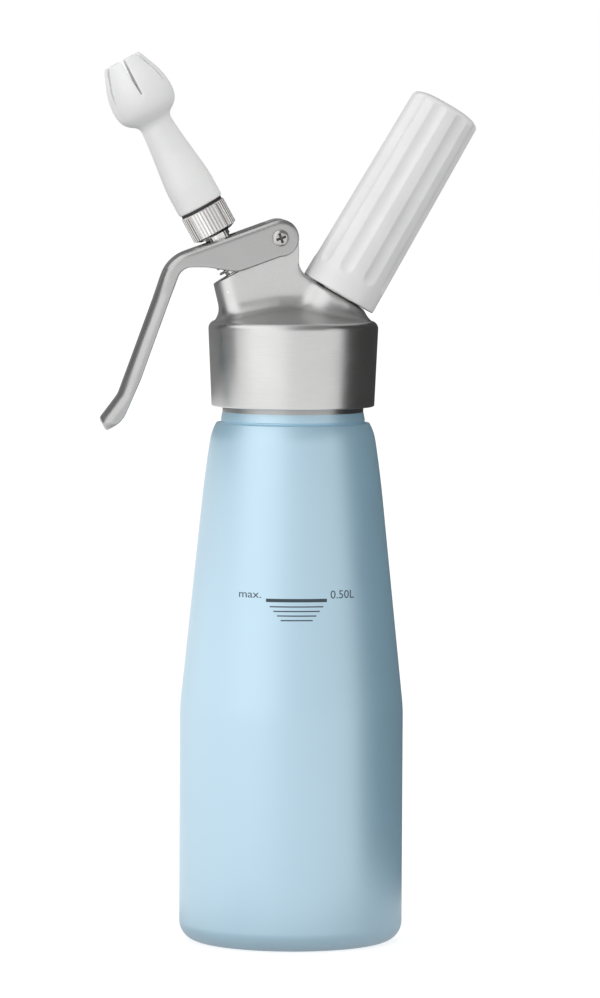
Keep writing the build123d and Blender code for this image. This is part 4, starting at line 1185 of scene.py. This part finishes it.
# the inside looks towards the axis, or up from the floor
for face in bottle.data.polygons:
    centre = face.center / MM
    outwards = Vector((centre.x, centre.y, 0)).dot(face.normal)
    inner = outwards < -0.5 or (centre.z < 12 and face.normal.z > 0.1 and centre.z > 2.0)
    face.material_index = 1 if inner or centre.z > COAT_EDGE else 0
dress(skirt, brushed_skirt)
dress(casting, blasted_casting)
dress(spigot, turned_inlet)
dress(lever, rubbed_shaded_lever)
dress(nozzle, white_nozzle)
dress(holder, white_holder)
dress(spring, plated)
dress(screw, plated, shadowed)
# the faces of the cross recess take the painted shade
for face in screw.data.polygons:
    face.material_index = 1 if in_recess(face) else 0
dress(mark, mark_ink)

BY_NODE = {
    plated: ("pivot_barrel",),
    bright_nut: ("nozzle_adapter",),
    turned_valve: ("valve_stem", "spring_collar", "valve_plug", "nozzle_insert"),
    turned_inlet: ("piercing_pin", "holder_insert"),
    turned_brass: ("inlet_body",),
    zinc_charger: ("charger",),
    inner_plastic: ("stem_bush", "holder_pad"),
    black_rubber: (
        "nozzle_ring", "stem_rings", "valve_seal", "adapter_washer", "check_sleeve", "charger_gasket",
    ),
    grey_silicone: ("head_gasket",),
}
for finish, names in BY_NODE.items():
    for name in names:
        for slot in nodes[name].material_slots:
            slot.material = finish
for piece, degrees in ((casting, 60), (lever, 60), (skirt, 35)):
    shade(piece, degrees)
print("dressed", sum(len(names) for names in BY_NODE.values()), "packed pieces")

# %% [markdown]
# ## Put the pieces on the frame
# Every piece rides on the imported body that it belongs to, names the finish it takes, and stands for the
# plain solid that it hides. The spring gets a mesh of its own.

# %% Ride and replace
PLACES = (
    (bottle, "bottle", "powder_coat", "bottle"),
    (skirt, "head", "cast_aluminium", None),
    (casting, "head", "cast_aluminium", "head_body"),
    (spigot, "head", "cast_aluminium", None),
    (lever, "lever", "cast_aluminium", "lever"),
    (nozzle, "nozzle", "white_nozzle", "decorator_nozzle"),
    (holder, "holder", "white_holder", "holder_shell"),
    (spring, "head", "spring_steel", "valve_spring"),
    (screw, "head", "plated_steel", "pivot_screw"),
    (mark, "bottle", "powder_coat", None),
)
for piece, body, finish, node in PLACES:
    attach(piece, body)
    if node:
        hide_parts(node)
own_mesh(spring)
print("pieces:", ", ".join(place[0].name for place in PLACES))

# %% [markdown]
# ## Studio
# A white floor and a white surround, and two large soft lamps: the key at the left of the camera and a
# weaker one at the right. Metal only looks like metal if it has something to mirror, so mirror cards stand
# around: bright ones on the lit side, low and high, and dark or grey ones close to the bottle, below it, in
# front and above. Only glossy rays see them. The grey card below the bottle is a painted shadow of the
# floor round its foot. The studio's distances are in metres.

# %% World and floor
world = bpy.data.worlds.new("studio")
bpy.context.scene.world = world
world.use_nodes = True
tree = world.node_tree
tree.nodes.clear()


def seen_directly(tree):
    """1 for camera, glossy and transmission rays, 0 for the rays that light surfaces."""
    path = add(tree, "LightPath").outputs
    first = add(tree, "Math", {0: path["Is Camera Ray"], 1: path["Is Glossy Ray"]}, operation="MAXIMUM")
    both = add(tree, "Math", {0: first.outputs[0], 1: path["Is Transmission Ray"]}, operation="MAXIMUM")
    return both.outputs[0]


WORLD_LIGHT = 0.74
backdrop = blend(tree, seen_directly(tree), (WORLD_LIGHT,) * 3, (1.0, 1.0, 1.0))
background = add(tree, "Background", {"Color": backdrop, "Strength": 1.0})
tree.links.new(background.outputs[0], add(tree, "OutputWorld").inputs["Surface"])

bpy.ops.mesh.primitive_plane_add(size=12.0, location=(0, 0, -0.00005))
floor = bpy.context.object
floor.name = "floor"
floor_paint = bpy.data.materials.new("floor_paint")
floor_paint.use_nodes = True
tree = floor_paint.node_tree
tree.nodes.clear()
share = seen_directly(tree)
matt = add(tree, "BsdfDiffuse", {"Color": blend(tree, share, (0.50,) * 3, (0.42,) * 3)})
glow = add(tree, "Emission", {"Color": blend(tree, share, (0.0,) * 3, (0.76,) * 3), "Strength": 1.0})
both = add(tree, "AddShader", {0: matt.outputs[0], 1: glow.outputs[0]})
tree.links.new(both.outputs[0], add(tree, "OutputMaterial").inputs["Surface"])
dress(floor, floor_paint)


# %% Mirror cards and lamps
MIDDLE = 0.16


def place_round(thing, azimuth, elevation, distance):
    """Put a card or a lamp round the object, azimuth 0 at the camera's side, and face it."""
    across, up = distance * cos(radians(elevation)), distance * sin(radians(elevation))
    thing.location = (across * sin(radians(azimuth)), -across * cos(radians(azimuth)), MIDDLE + up)
    aim = Vector((0, 0, MIDDLE)) - thing.location
    thing.rotation_euler = aim.to_track_quat("-Z", "Y").to_euler()


def card(name, azimuth, elevation, distance, size, level, foot=None):
    """A card of an even brightness that only glossy rays see; foot is its lower edge's height."""
    bpy.ops.mesh.primitive_plane_add(size=1.0)
    made = bpy.context.object
    made.name = name
    made.scale = (size[0], size[1], 1)
    place_round(made, azimuth, elevation, distance)
    if foot is not None:
        made.location.z = foot + size[1] / 2
    paint = bpy.data.materials.new(name + "_paint")
    paint.use_nodes = True
    paint.node_tree.nodes.clear()
    glow = add(paint.node_tree, "Emission", {"Color": (1.0, 1.0, 1.0, 1.0), "Strength": level})
    out = add(paint.node_tree, "OutputMaterial")
    paint.node_tree.links.new(glow.outputs[0], out.inputs["Surface"])
    dress(made, paint)
    made.visible_camera = made.visible_diffuse = made.visible_shadow = False


card("right_card", 112, 0, 0.115, (0.28, 0.40), 0.06, 0.0)
card("back_card", 192, 0, 0.09, (0.14, 0.32), 0.22, 0.186)
card("left_card", -122, 0, 0.09, (0.16, 0.08), 0.26, 0.186)
card("low_left_card", -95, 0, 0.25, (0.36, 0.15), 1.3, 0.0)
card("bright_card", -42, 0, 0.6, (0.6, 0.9), 1.45, 0.0)
# a grey card under the bottle: painted shadow of the floor round its foot, seen only in reflections
card("floor_shadow_card", 0, -90, 0.1597, (0.14, 0.14), 0.55)
card("top_card", 60, 62, 1.2, (1.6, 1.2), 0.3)
card("front_card", 12, 36, 1.4, (1.5, 0.65), 0.34)
card("bright_top_card", -80, 52, 1.2, (1.3, 1.1), 1.5)

for name, azimuth, energy in (("key_lamp", -52, 8.0), ("fill_lamp", 70, 3.5)):
    bpy.ops.object.light_add(type="AREA")
    lamp = bpy.context.object
    lamp.name = name
    lamp.data.shape = "RECTANGLE"
    lamp.data.size, lamp.data.size_y = 1.2, 1.5
    lamp.data.energy = energy
    lamp.visible_glossy = False
    place_round(lamp, azimuth, 14, 1.6)
print("studio ready")
